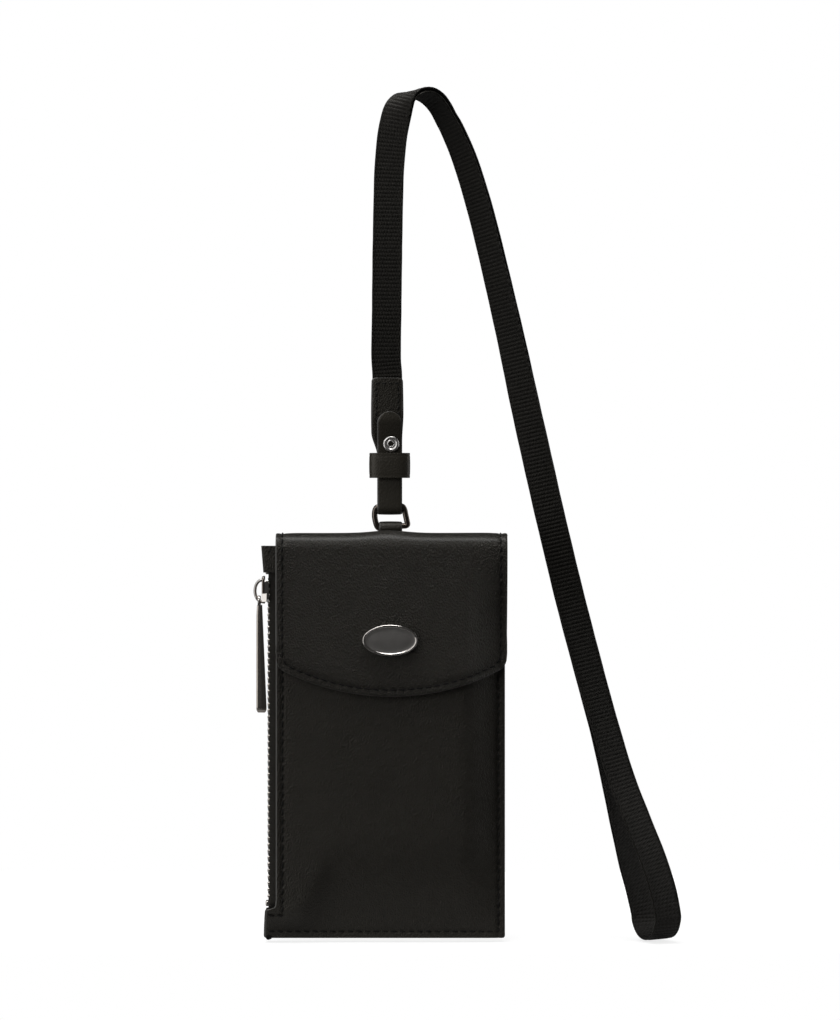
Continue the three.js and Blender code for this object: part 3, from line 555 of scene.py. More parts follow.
def new_object(name, vertices, faces, materials, slots=None):
    """A smooth-shaded mesh whose faces all look outwards; slots number each face's material."""
    mesh = bpy.data.meshes.new(name)
    mesh.from_pydata(np.asarray(vertices).tolist(), [], [list(map(int, f)) for f in faces])
    for material in materials:
        mesh.materials.append(material)
    if slots is not None:
        mesh.polygons.foreach_set("material_index", slots)
    mesh.polygons.foreach_set("use_smooth", [True] * len(mesh.polygons))
    work = bmesh.new()
    work.from_mesh(mesh)
    bmesh.ops.recalc_face_normals(work, faces=work.faces)
    work.to_mesh(mesh)
    work.free()
    return in_scene(name, mesh)


def circle(sides):
    """Cosines and sines of even steps round a circle."""
    turn = 2 * np.pi * np.arange(sides) / sides
    return np.stack([np.cos(turn), np.sin(turn)])


def tube_faces(rings, sides, closed=False, first=0):
    """Faces between rings of the same number of vertices, with a cap at each open end."""
    index = first + np.arange(rings * sides).reshape(rings, sides)
    if closed:
        index = np.concatenate([index, index[:1]])
    after = np.roll(index, -1, axis=1)
    faces = np.stack([index[:-1], after[:-1], after[1:], index[1:]], axis=-1).reshape(-1, 4).tolist()
    return faces if closed else faces + [index[0].tolist(), index[-1].tolist()]


def stack(name, rings, materials, slots=None):
    """A solid from a list of rings of the same number of points, closed at both ends."""
    vertices = np.concatenate([np.array(ring) for ring in rings])
    return new_object(name, vertices, tube_faces(len(rings), len(rings[0])), materials, slots)


def flat_shaded(thing):
    thing.data.polygons.foreach_set("use_smooth", [False] * len(thing.data.polygons))


def settle(made, body, slot, *nodes):
    """A finished piece: the body it rides on, its material slot, which is not used, and the CAD nodes it
    replaces.
    """
    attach(made, body)
    if nodes:
        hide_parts(*nodes)


def round_edges(thing, width, segments=3, angle=50, slot=-1):
    """Bevel the edges that are sharper than the angle, in degrees."""
    bevel = thing.modifiers.new("edges", "BEVEL")
    bevel.width = width
    bevel.segments = segments
    bevel.limit_method = "ANGLE"
    bevel.angle_limit = math.radians(angle)
    bevel.material = slot


def outward(points, wrap=False):
    """Normals of a grid of points: the way along the rows crossed with the way across."""
    across = np.gradient(points, axis=0)
    if wrap:
        along = np.roll(points, -1, axis=1) - np.roll(points, 1, axis=1)
    else:
        along = np.gradient(points, axis=1)
    return unit(np.cross(along, across))


def sheet(name, points, thickness, materials, wrap=False, groove=0.0, rim=0.3 * MM, border=0):
    """A closed sheet with its outer face on points[across, along], pressed in by groove.

    The rim and the outermost border cells take the second material; on leather that is the lighter edge
    paint, which is partly a painted highlight along the edge.
    """
    normals = outward(points, wrap)
    outer = points - normals * np.broadcast_to(groove, points.shape[:2])[..., None]
    inner = points - normals * thickness
    columns, rows = points.shape[:2]
    index = np.arange(columns * rows).reshape(columns, rows)
    if wrap:
        index = np.concatenate([index, index[:, :1]], axis=1)
    below = index + columns * rows
    faces = [
        np.stack([index[:-1, :-1], index[:-1, 1:], index[1:, 1:], index[1:, :-1]], axis=-1).reshape(-1, 4),
        np.stack([below[:-1, :-1], below[1:, :-1], below[1:, 1:], below[:-1, 1:]], axis=-1).reshape(-1, 4),
    ]
    lines = [index[0], index[-1]] if wrap else [index[0], index[-1], index[:, 0], index[:, -1]]
    for line in lines:
        ends = line + columns * rows
        faces.append(np.stack([line[:-1], line[1:], ends[1:], ends[:-1]], axis=1))
    faces = np.concatenate(faces)
    cells = np.zeros((columns - 1, index.shape[1] - 1), int)
    # Border cells take the second material: on leather, edge paint that is also a painted highlight line
    # along the edge.
    if border:
        cells[:border] = cells[-border:] = 1
        if not wrap:
            cells[:, :border] = cells[:, -border:] = 1
    slots = np.ones(len(faces), int)
    slots[:2 * cells.size] = 0
    slots[:cells.size] = cells.ravel()
    vertices = np.concatenate([outer.reshape(-1, 3), inner.reshape(-1, 3)])
    made = new_object(name, vertices, faces, materials, slots)
    if rim:
        round_edges(made, rim, slot=1)
    return made


def upright(line, heights):
    """A grid of points that repeats a line of (x, y) points at each height."""
    line = np.array(line)
    points = np.zeros((len(heights), len(line), 3))
    points[..., :2] = line
    points[..., 2] = np.asarray(heights)[:, None]
    return points


def stations(low, high, marks, coarse, fine=0.4 * MM, reach=1.2 * MM):
    """Grid lines from low to high, closer together near the marks."""
    found = [low]
    while found[-1] < high - fine / 4:
        here = found[-1]
        near = min([abs(here - mark) for mark in marks] or [coarse])
        ahead = min([mark - here for mark in marks if mark > here + fine / 4] or [coarse])
        step = fine if near < reach else min(coarse, max(fine, ahead - reach))
        found.append(min(high, here + step))
    return np.array(found)


def lip(distance, reach=0.42 * MM, slope=0.62):
    """The painted edge: the last of the leather falls away to its rim."""
    return slope * np.clip(reach - distance, 0, reach)


def pressed(distance, depth=0.30 * MM, narrow=0.55 * MM, wide=2.6 * MM):
    """How far a seam at this distance pulls the leather in: a thin line in a shallow valley."""
    return depth * np.exp(-(distance / narrow) ** 2) + 0.8 * depth * np.exp(-(distance / wide) ** 2)


def uneven(x, z, depth=0.10 * MM):
    """Slow hand-made unevenness of a leather face."""
    a = np.sin(x / (9.5 * MM) + 1.3 * np.sin(z / (17 * MM)))
    b = np.sin(z / (13 * MM) + 1.7 * np.sin(x / (21 * MM)) + 2)
    return depth * (a * b + 1) / 2


def smooth_line(points, spacing=0.5 * MM):
    """The same line with its bends rounded off."""
    raw = np.array(points)
    ways = ways_along(raw)
    fine = at_ways(np.linspace(0, ways[-1], int(ways[-1] / spacing) + 1), ways, raw)
    for _ in range(4):
        fine[1:-1] = (fine[:-2] + 2 * fine[1:-1] + fine[2:]) / 4
    return fine


def wire(name, y, path, radius, material, closed=False, sides=16):
    """A round wire along a path of (x, z) points in the plane y."""
    flat = np.array(path)
    centre = np.stack([flat[:, 0], np.full(len(flat), y), flat[:, 1]], axis=1)
    if closed:
        along = unit(np.roll(centre, -1, axis=0) - np.roll(centre, 1, axis=0))
    else:
        along = unit(np.gradient(centre, axis=0))
    up = np.array([0.0, 1.0, 0.0])
    side = unit(np.cross(along, up))
    cosines, sines = circle(sides)[:, :, None]
    vertices = centre[:, None] + (side[:, None] * cosines + up * sines) * radius
    return new_object(name, vertices.reshape(-1, 3), tube_faces(len(flat), sides, closed), [material])


def stitches(name, surface, path, pitch=STITCH_PITCH, radius=THREAD):
    """Thread stitches along a seam. path is a list of places in the surface's own coordinates."""
    corners = np.array(path, float)
    legs = [np.linspace(a, b, 60, endpoint=False) for a, b in zip(corners[:-1], corners[1:])]
    places = np.concatenate(legs + [corners[-1:]])
    u, v = places.T
    points = surface(u, v)
    step = 0.05 * MM
    across = surface(u + step, v) - surface(u - step, v)
    down = surface(u, v + step) - surface(u, v - step)
    normals = unit(np.cross(down, across))
    ways = ways_along(points)
    count = max(1, round(ways[-1] / pitch))
    pitch = ways[-1] / count
    share = np.array([0.12, 0.2, 0.36, 0.5, 0.64, 0.8, 0.88])
    lift = np.array([-1.5, -0.35, 0.2, 0.3, 0.2, -0.35, -1.5]) * radius
    slant = np.linspace(-0.5, 0.5, len(share)) * radius
    size = np.array([0.55, 0.9, 1, 1, 1, 0.9, 0.55]) * radius
    sides = 8
    cosines, sines = circle(sides)[:, :, None]
    vertices = []
    faces = []
    for i in range(count):
        at = (i + share) * pitch
        middle = at_ways(at, ways, points)
        out = unit(at_ways(at, ways, normals))
        beside = unit(np.cross(unit(np.gradient(middle, axis=0)), out))
        middle = middle + out * lift[:, None] + beside * slant[:, None]
        ring = out[:, None] * cosines + beside[:, None] * sines
        faces += tube_faces(len(share), sides, first=i * sides * len(share))
        vertices.append((middle[:, None] + ring * size[:, None, None]).reshape(-1, 3))
    return new_object(name, np.concatenate(vertices), faces, [thread])


# ---- Neck strap ---------------------------------------------------------------------------


def make_webbing():
    """The neck strap: one length of ribbed webbing, folded double."""
    stops, widths = strap_stops()
    places, width, way = smooth_through(stops, widths, RIB_PITCH / 5)
    along = unit(np.gradient(places, axis=0))
    width = square_to(width, along)
    out = np.cross(width, along)
    # Section: a flat ribbed middle between two rounded selvedges.
    half = WEB_THICK / 2
    across = np.array([-1.0, -0.97, -0.90, -0.86, -0.6, -0.3, 0, 0.3, 0.6, 0.86, 0.90, 0.97, 1.0])
    rise = np.array([0, 0.62, 0.80, 0.66, 1, 1, 1, 1, 1, 0.66, 0.80, 0.62, 0]) * half
    ribbed = np.array([0, 0.2, 0.3, 0.5, 1, 1, 1, 1, 1, 0.5, 0.3, 0.2, 0])
    front = np.stack([across, rise, ribbed], axis=1)
    section = np.concatenate([front, front[-2:0:-1] * (1, -1, 1)])
    across, rise, ribbed = section.T
    valley = 0.20 * MM * (1 - np.abs(np.sin(np.pi * way / RIB_PITCH))) ** 1.3
    height = rise - np.sign(rise) * valley[:, None] * ribbed
    wobble = 1 + 0.006 * np.sin(way / (6.3 * MM)) + 0.004 * np.sin(way / (2.1 * MM) + 1)
    side = across * WEB_HALF * 0.985 * wobble[:, None]
    points = places[:, None] + width[:, None] * side[..., None] + out[:, None] * height[..., None]
    count = len(section)
    made = new_object(
        "strap_webbing", points.reshape(-1, 3), tube_faces(len(points), count), [webbing_cloth])
    layer = made.data.uv_layers.new(name="strip")
    corner = np.zeros(len(made.data.loops), int)
    made.data.loops.foreach_get("vertex_index", corner)
    uv = np.stack([across[corner % count] * WEB_HALF, way[corner // count]], axis=1)
    layer.data.foreach_set("uv", uv.astype(np.float32).ravel())
    settle(made, "strap", "ribbed_webbing", "neck_strap")


make_webbing()

# ---- Leather skin: back panel, fold and flap in one ---------------------------------------

BACK_RUN = FOLD_Z - POUCH_BOTTOM
FOLD_RUN = 16.5 * MM
FOLD_END = BACK_RUN + FOLD_RUN
FLAP_RUN = FOLD_Z - FLAP_LOW_Z
SEAM_LEFT = PANEL_LEFT + SEAM_INSET
SEAM_RIGHT = PANEL_RIGHT - SEAM_INSET
CORNER_SEAM = CORNER_LEFT + 1.2 * MM


def beside_zip(x):
    """1 where the zip tapes lie between the skins, 0 well to the right of them."""
    return 1 - ease((x - PANEL_LEFT - TAPE_COVER) / SIDE_EASE)


def from_right(x):
    """0 at the sewn right edge, 1 further in, where the pockets can open."""
    return ease((PANEL_RIGHT - x) / SIDE_EASE)


def from_bottom(x, z):
    """0 at the sewn bottom edge, 1 further up; the bottom opens more slowly away from the zip."""
    reach = BOTTOM_EASE + BOTTOM_EASE_MORE * (1 - beside_zip(x))
    return ease((z - POUCH_BOTTOM) / reach)


def divider_y(x, z):
    """Back face of the layer between the zip pocket and the flap pocket."""
    spread = ZIP_SPREAD * beside_zip(x) + ZIP_POCKET * (1 - beside_zip(x)) * from_right(x)
    return BACK_FACE - LEATHER - 2 * GAP - LINING - from_bottom(x, z) * spread


def back_lining_y(x, z):
    return np.full(np.shape(x), BACK_FACE - LEATHER - GAP)


def front_lining_y(x, z):
    """Back face of the front lining, pushed forward by the flap pocket."""
    depth = FLAP_POCKET * from_bottom(x, z) * (1 - beside_zip(x)) * from_right(x)
    return divider_y(x, z) - DIVIDER - GAP - depth


def front_face_y(x, z):
    return front_lining_y(x, z) - LINING - GAP - LEATHER


def flap_face_y(x, z):
    """The flap's face: upright at the fold, then following the front panel."""
    follow = ease((FOLD_Z - z) / FLAP_FOLLOW)
    target = front_face_y(x, np.minimum(z, MOUTH_Z)) - FLAP_SKIN
    return FLAP_FACE + follow * (target - FLAP_FACE)


def flap_edge_z(x, inset=0.0):
    """Height of the flap's curved lower edge, or of a line inset from it."""
    half = (FLAP_RIGHT - FLAP_LEFT) / 2 - inset
    radius = FLAP_ARC - inset
    centre = FLAP_LOW_Z + FLAP_ARC
    away = np.minimum(np.abs(x - FLAP_X), half)
    arc_end = half - FLAP_CORNER
    arc_z = centre - np.sqrt(radius**2 - np.minimum(away, arc_end) ** 2)
    t = 1 - np.sqrt(np.clip((half - away) / FLAP_CORNER, 0, 1))
    side_z = FLAP_SIDE_Z + inset * 0.3
    bend_z = arc_z + FLAP_CORNER_RISE
    corner = arc_z * (1 - t) ** 2 + 2 * bend_z * t * (1 - t) + side_z * t**2
    return np.where(away <= arc_end, arc_z, corner)


def skin(x, way, depth=0.0):
    """The skin at a way from its bottom edge on the back, over the fold, to the flap's edge."""
    x, way = matched(x, way)
    turn = np.pi * np.clip((way - BACK_RUN) / FOLD_RUN, 0, 1)
    over_ring_tab = np.exp(-((x - RING_X) / RING_SWELL_HALF) ** 2)
    lifted = FOLD_RISE + RING_SWELL * over_ring_tab
    fold_y = FOLD_Y + (FOLD_HALF - depth) * np.cos(turn)
    fold_z = FOLD_Z + (lifted - depth) * np.sin(turn)
    back_z = POUCH_BOTTOM + way
    front_z = FOLD_Z - (way - FOLD_END)
    on_back = way < BACK_RUN
    on_front = way > FOLD_END
    y = np.where(on_back, BACK_FACE - depth, np.where(on_front, flap_face_y(x, front_z) + depth, fold_y))
    z = np.where(on_back, back_z, np.where(on_front, front_z, fold_z))
    return np.stack([x, y, z], axis=-1)


def left_edge(z):
    """The pouch's left edge: straight beside the zip, then round the notch to the corner."""
    rise = z - NOTCH_BOTTOM
    inside = np.clip(NOTCH_RADIUS - rise, 0, NOTCH_RADIUS)
    notch = PANEL_LEFT - NOTCH_RADIUS + np.sqrt(NOTCH_RADIUS**2 - inside**2)
    low = np.clip(CORNER_RADIUS + rise, 0, CORNER_RADIUS)
    low = np.maximum(low, np.clip(CORNER_RADIUS - (z - POUCH_BOTTOM), 0, CORNER_RADIUS))
    lean = 0.6 * MM * np.clip((z - POUCH_BOTTOM) / (NOTCH_BOTTOM - POUCH_BOTTOM), 0, 1) ** 1.5
    corner = CORNER_LEFT + lean + CORNER_RADIUS - np.sqrt(CORNER_RADIUS**2 - low**2)
    return np.where(rise >= 0, notch, corner)


def right_edge(z):
    """The pouch's right edge, straight down to its rounded corner."""
    low = np.clip(CORNER_RADIUS - (z - POUCH_BOTTOM), 0, CORNER_RADIUS)
    return PANEL_RIGHT - CORNER_RADIUS + np.sqrt(CORNER_RADIUS**2 - low**2)


def fit_between(u, left, right, low, high, pin):
    """Columns u, which run from low to high, with their outer few moved to meet left and right."""
    from_left = np.clip((u - low) / pin, 0, 1)
    to_right = np.clip((high - u) / pin, 0, 1)
    return u + (left - low) * (1 - from_left) + (right - high) * (1 - to_right)


def make_skin():
    """Back panel, fold and flap as one sheet, so that the leather runs over the fold."""
    left_seam = FLAP_LEFT + SEAM_INSET
    right_seam = FLAP_RIGHT - SEAM_INSET
    columns = stations(FLAP_LEFT, FLAP_RIGHT, [FLAP_LEFT, left_seam, right_seam, FLAP_RIGHT], 2.4 * MM)
    notch = NOTCH_BOTTOM - POUCH_BOTTOM
    back_rows = stations(0, BACK_RUN, [0, SEAM_INSET, notch], 2.6 * MM)
    fold_rows = np.linspace(BACK_RUN, FOLD_END, 26)[1:-1]
    flap_end = FOLD_END + FLAP_RUN
    flap_rows = stations(FOLD_END, flap_end, [flap_end - SEAM_INSET, flap_end], 2.0 * MM)
    rows = np.concatenate([back_rows, fold_rows, flap_rows])
    u, r = np.meshgrid(columns, rows, indexing="ij")
    z_back = POUCH_BOTTOM + r
    margin = 5 * MM
    meet = ease((r - BACK_RUN + margin) / (4 * MM))
    left = left_edge(z_back) * (1 - meet) + FLAP_LEFT * meet
    right = right_edge(z_back) * (1 - meet) + FLAP_RIGHT * meet
    x = fit_between(u, left, right, FLAP_LEFT, FLAP_RIGHT, margin)
    over = np.clip((r - FOLD_END) / FLAP_RUN, 0, 1)
    drop = (FOLD_Z - flap_edge_z(x)) * over
    way = np.where(over > 0, FOLD_END + drop, r)
    points = skin(x, way)
    z = points[..., 2]
    on_flap = r > BACK_RUN + FOLD_RUN / 2
    sides = np.minimum(np.abs(x - left_seam), np.abs(right_seam - x))
    below = np.abs(z - flap_edge_z(x, SEAM_INSET))
    bottom = np.abs(z - POUCH_BOTTOM - SEAM_INSET)
    back_side = np.where(z > NOTCH_BOTTOM - SEAM_INSET, sides, np.abs(SEAM_RIGHT - x))
    distance = np.where(on_flap, np.minimum(sides, below), np.minimum(back_side, bottom))
    groove = pressed(distance, depth=0.24 * MM) + uneven(x, z) * (distance > 0)
    to_edge = np.minimum(x - FLAP_LEFT, FLAP_RIGHT - x)
    groove += lip(np.where(on_flap, np.minimum(to_edge, z - flap_edge_z(x)), to_edge))
    made = sheet(
        "outer_skin", points, FLAP_LEATHER, [flap_leather, edge_paint_and_highlight], groove=groove, rim=SKIN_RIM,
        border=1)
    bend_with_flap(made)
    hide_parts("back_panel", "flap")


def bend_with_flap(thing):
    """Bake the piece's transform into its mesh; nothing here makes it bend when the flap opens."""
    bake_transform(thing)


def pressed_skin(x, way):
    """The bottom of the skin's seams, where the thread lies."""
    return skin(x, way, THREAD_SINK)


def make_skin_seams():
    """Stitches round the flap, and on the back round the zip's opening and the other two sides."""
    left = FLAP_LEFT + SEAM_INSET
    right = FLAP_RIGHT - SEAM_INSET
    notch_seam = NOTCH_BOTTOM - POUCH_BOTTOM - SEAM_INSET
    corner_run = 3.2 * MM * (1 - np.cos(np.linspace(0, np.pi / 2, 10)))
    middle = np.linspace(left + 4 * MM, right - 4 * MM, 40)
    xs = np.concatenate([left + corner_run, middle, right - corner_run[::-1]])
    lower = [(x, FOLD_END + FOLD_Z - float(flap_edge_z(x, SEAM_INSET))) for x in xs]
    flap_top = BACK_RUN - 2 * MM
    path = [(left, flap_top), (left, FOLD_END), *lower, (right, FOLD_END), (right, flap_top)]
    bend_with_flap(stitches("flap_stitches", pressed_skin, path))
    beside = [(CORNER_SEAM, notch_seam), (left, notch_seam), (left, BACK_RUN - 3 * MM)]
    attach(stitches("back_stitches_left", pressed_skin, beside), "pouch")
    rest = [(CORNER_SEAM, SEAM_INSET), (SEAM_RIGHT, SEAM_INSET), (SEAM_RIGHT, BACK_RUN - 5 * MM)]
    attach(stitches("back_stitches_right", pressed_skin, rest), "pouch")


def make_thread_ends():
    """Knotted thread ends: at the flap's two upper corners and at the pouch's bottom left corner."""
    top_z = FOLD_Z + 4.2 * MM
    back_y = BACK_FACE - 2.2 * MM
    middle_y = BACK_FACE - 4.6 * MM
    knots = [
        ("left", FLAP_LEFT + 0.3 * MM, top_z, back_y, 0.5 * MM),
        ("right", FLAP_RIGHT - 0.3 * MM, top_z, back_y, 0.5 * MM),
        ("bottom", CORNER_LEFT + 1.7 * MM, POUCH_BOTTOM + 0.25 * MM, middle_y, 1.0 * MM),
    ]
    turn = np.linspace(0, 4 * np.pi, 60)
    for name, x, z, y, size in knots:
        reach = size * (0.62 - 0.2 * np.cos(1.5 * turn))
        path = list(zip(x + reach * np.cos(turn), z + 0.75 * reach * np.sin(turn)))
        knot = wire(f"thread_knot_{name}", y, path, 0.25 * size, thread, sides=8)
        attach(knot, "pouch")


make_skin()
make_skin_seams()

# ---- Front panel, linings and divider -----------------------------------------------------


def panel(x, down, y_of=front_face_y, depth=0.0):
    """A front-facing layer at a way down from the pockets' mouth."""
    x, down = matched(x, down)
    z = MOUTH_Z - down
    return np.stack([x, y_of(x, z) + depth, z], axis=-1)


def pressed_panel(x, down):
    """The bottom of the front panel's seams."""
    return panel(x, down, depth=0.30 * MM)


def make_front_panel():
    """The front leather, with its seams pressed in beside the zip, right and bottom."""
    height = MOUTH_Z - POUCH_BOTTOM
    notch = MOUTH_Z - NOTCH_BOTTOM
    columns = stations(PANEL_LEFT, PANEL_RIGHT, [PANEL_LEFT, SEAM_LEFT, SEAM_RIGHT, PANEL_RIGHT], 2.0 * MM)
    rows = stations(0, height, [0, notch, notch + SEAM_INSET, height - SEAM_INSET, height], 2.4 * MM)
    u, down = np.meshgrid(columns, rows, indexing="ij")
    z = MOUTH_Z - down
    x = fit_between(u, left_edge(z), right_edge(z), PANEL_LEFT, PANEL_RIGHT, 2 * SEAM_INSET)
    points = panel(x, down)
    left_seam = np.where(z > NOTCH_BOTTOM - SEAM_INSET, np.abs(x - SEAM_LEFT), 1)
    notch_seam = np.where(x < SEAM_LEFT, np.abs(z - NOTCH_BOTTOM + SEAM_INSET), 1)
    distance = np.minimum.reduce([left_seam, notch_seam, np.abs(x - SEAM_RIGHT)])
    below = np.abs(z - POUCH_BOTTOM - SEAM_INSET)
    groove = np.maximum(pressed(distance), pressed(below, 0.17 * MM))
    groove += uneven(x, z) + lip(np.minimum(x - left_edge(z), right_edge(z) - x))
    made = sheet(
        "front_leather", points, LEATHER, [leather, edge_paint_and_highlight], groove=groove, rim=SKIN_RIM, border=1)
    settle(made, "pouch", "black_leather", "front_panel")
    top = 1.5 * MM
    notch_line = notch + SEAM_INSET
    bottom_line = height - SEAM_INSET
    left = [(SEAM_LEFT, top), (SEAM_LEFT, notch_line), (CORNER_SEAM, notch_line)]
    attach(stitches("front_stitches_left", pressed_panel, left), "pouch")
    right = [(CORNER_SEAM, bottom_line), (SEAM_RIGHT, bottom_line), (SEAM_RIGHT, top)]
    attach(stitches("front_stitches_right", pressed_panel, right), "pouch")


def make_edge_core():
    """The painted edge between the two skins, down the right side and round to the zip's end."""
    inset = 0.3 * MM
    sunk = 0.15 * MM
    bottom = POUCH_BOTTOM + inset
    down = np.linspace(FOLD_Z, bottom, 90)
    up = np.linspace(bottom, NOTCH_BOTTOM - 0.6 * MM, 12)
    right = [(x - inset, z) for x, z in zip(right_edge(down), down)]
    left = [(x + inset, z) for x, z in zip(left_edge(up), up)]
    low = [(x, bottom) for x in np.linspace(right[-1][0], left[0][0], 60)[1:-1]]
    x, z = smooth_line(right + low + left, 1.0 * MM).T
    share = np.linspace(0, 1, 5)[:, None]
    front = front_face_y(x, z) + LEATHER - sunk
    back = BACK_FACE - FLAP_LEATHER + sunk
    y = front + (back - front) * share
    points = np.stack([x + 0 * y, y, z + 0 * y], axis=-1)
    made = sheet("edge_core", points, 0.9 * MM, [edge_paint_and_highlight, edge_paint_and_highlight], rim=0)
    settle(made, "pouch", "black_leather")


def make_inner_layer(name, node, back_y_of, thickness):
    """A lining or divider, a flat sheet that follows the height of its back face."""
    low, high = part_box(node)
    columns = np.linspace(low.x, high.x, 40)
    rows = np.linspace(MOUTH_Z - high.z, MOUTH_Z - low.z, 48)
    u, down = np.meshgrid(columns, rows, indexing="ij")
    points = panel(u, down, back_y_of, -thickness)
    made = sheet(name, points, thickness, [lining_cloth, lining_cloth], rim=LINING_RIM)
    settle(made, "pouch", "lining_cloth", node)


def make_flap_lining():
    """The cloth behind the flap, from inside the fold to just short of the flap's edge."""
    low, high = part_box("flap_lining")
    depth = FLAP_LEATHER + 0.3 * MM
    short_of_edge = 1 * MM
    columns = stations(low.x, high.x, [low.x, high.x], 2.4 * MM)
    fold = np.linspace(BACK_RUN + FOLD_RUN * 0.46, FOLD_END, 14)
    rows = np.concatenate([fold[:-1], np.linspace(FOLD_END, FOLD_END + FLAP_RUN, 30)])
    x, r = np.meshgrid(columns, rows, indexing="ij")
    over = np.clip((r - FOLD_END) / FLAP_RUN, 0, 1)
    drop = (FOLD_Z - flap_edge_z(x, short_of_edge)) * over
    points = skin(x, np.where(over > 0, FOLD_END + drop, r), depth)
    made = sheet("flap_lining_cloth", points, LINING, [lining_cloth, lining_cloth], rim=LINING_RIM)
    settle(made, "flap", "lining_cloth", "flap_lining")


make_front_panel()
make_edge_core()
make_thread_ends()
make_inner_layer("front_lining_cloth", "front_lining", front_lining_y, LINING)
make_inner_layer("divider_cloth", "pocket_divider", divider_y, DIVIDER)
make_inner_layer("back_lining_cloth", "back_lining", back_lining_y, LINING)
make_flap_lining()

# ---- Leather straps -----------------------------------------------------------------------


def arc(centre, radius, start, end, steps=16):
    """Points (y, z) round an arc, from the angle start to end in degrees."""
    angles = np.radians(np.linspace(start, end, steps))
    return [(centre[0] + radius * math.cos(a), centre[1] + radius * math.sin(a)) for a in angles]


class Strip:
    """A leather strip whose outer face runs along a line of (y, z) points."""

    def __init__(self, line):
        self.line = np.array(line)
        self.way = ways_along(self.line)
        self.length = self.way[-1]

    def point(self, x, way):
        x, way = matched(x, way)
        y = np.interp(way, self.way, self.line[:, 0])
        z = np.interp(way, self.way, self.line[:, 1])
        return np.stack([x, y, z], axis=-1)

    def at_height(self, z, last=False):
        """The way along at which the line crosses a height, the first time or the last."""
        steps = 1999
        heights = np.interp(np.linspace(0, self.length, steps + 1), self.way, self.line[:, 1])
        crossings = np.nonzero(np.diff(np.sign(heights - z)))[0]
        return (crossings[-1] if last else crossings[0]) / steps * self.length


def make_strip(
        name, strip, edges, nodes, body, material, thickness=STRAP_LEATHER, columns=13, crown=0.12 * MM):
    """edges(way) gives the strip's left and right x at each way along it."""
    rows = np.unique(np.concatenate([
        np.linspace(0, strip.length, int(strip.length / (0.6 * MM))),
        np.linspace(0, 4 * MM, 24), np.linspace(strip.length - 2 * MM, strip.length, 8)]))
    share = (1 - np.cos(np.linspace(0, np.pi, columns))) / 2
    left, right = edges(rows)
    x = left[None, :] + (right - left)[None, :] * share[:, None]
    points = strip.point(x, rows[None, :])
    bowl = crown * (2 * share - 1) ** 2 + lip(8 * MM * np.minimum(share, 1 - share), slope=0.5)
    made = sheet(
        name, points, thickness, [material, edge_paint_and_highlight], groove=bowl[:, None] + 0 * x,
        rim=0.2 * MM, border=2)
    settle(made, body, "black_leather", *nodes)
    return made


def anchor_edges(z):
    """Left and right x of the wide end over the webbing, which narrows to the strap."""
    down = COVER_HIGH.z - z
    bulge = 0.2 * MM * np.sin(np.pi * np.clip(down / (24 * MM), 0, 1))
    half = ANCHOR_HALF - 0.3 * MM + bulge
    left_in = ease((NARROW_LEFT_Z - z) / (8.0 * MM))
    right_in = ease((NARROW_RIGHT_Z - z) / (10.0 * MM))
    radius = 1.2 * MM
    corner = radius - np.sqrt(radius**2 - np.clip(radius - down, 0, radius) ** 2)
    left = (ANCHOR_X - half) * (1 - left_in) + (STRAP_X - STRAP_HALF) * left_in + corner
    right = (ANCHOR_X + half) * (1 - right_in) + (STRAP_X + STRAP_HALF) * right_in - corner
    return left, right


def strap_stitches(name, strip, path, body="strap"):
    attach(stitches(name, strip.point, path, STRAP_PITCH, STRAP_THREAD), body)


def make_strap_tab():
    """The narrow strap: its front leaf, the fold that holds the D-ring, and its wide back end."""
    low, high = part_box("strap_tab")
    fold_outer = high.y
    fold_z = low.z + fold_outer
    line = [
        (low.y, LEAF_TIP_Z), (low.y, LEAF_BEND_Z), (-2.75 * MM, SCREW_Z), (-fold_outer, LEAVES_MEET_Z)]
    line += arc((0, fold_z), fold_outer, 180, 360) + [(fold_outer, COVER_HIGH.z)]
    strip = Strip(smooth_line(line))
    front_end = strip.at_height(PLAIN_STRAP_Z)

    def edges(way):
        left, right = anchor_edges(strip.point(0, way)[:, 2])
        to_tip = np.clip(STRAP_HALF - way, 0, STRAP_HALF * 0.998)
        half = np.sqrt(STRAP_HALF**2 - to_tip**2)
        front = way < front_end
        return np.where(front, STRAP_X - half, left), np.where(front, STRAP_X + half, right)

    make_strip("strap_leather_with_painted_light", strip, edges, ["strap_tab"], "strap", strap_leather_with_painted_light)
    side = ANCHOR_HALF - 1.3 * MM
    top = strip.length - 1.4 * MM
    end = strip.at_height(SCREW_Z + 7.3 * MM, last=True)
    left, right = ANCHOR_X - side, ANCHOR_X + side
    strap_stitches("strap_stitches_back", strip, [(left, end), (left, top), (right, top), (right, end)])


def make_strap_cover():
    """The stitched front layer over the two ends of the webbing."""
    line = [
        (COVER_LOW.y, COVER_HIGH.z), (COVER_LOW.y, COVER_BEND_Z), (-1.4 * MM, SCREW_Z),
        (-0.6 * MM, COVER_LOW.z),
    ]
    strip = Strip(smooth_line(line))

    def edges(way):
        return anchor_edges(strip.point(0, way)[:, 2])

    make_strip("strap_cover_leather", strip, edges, ["strap_cover"], "strap", cover_leather)
    left = ANCHOR_X - ANCHOR_HALF + 1.9 * MM
    right = ANCHOR_X + ANCHOR_HALF - 1.8 * MM
    top = 1.9 * MM
    end = strip.at_height(SCREW_Z + 6.8 * MM)
    strap_stitches("strap_stitches_front", strip, [(left, end), (left, top), (right, top), (right, end)])


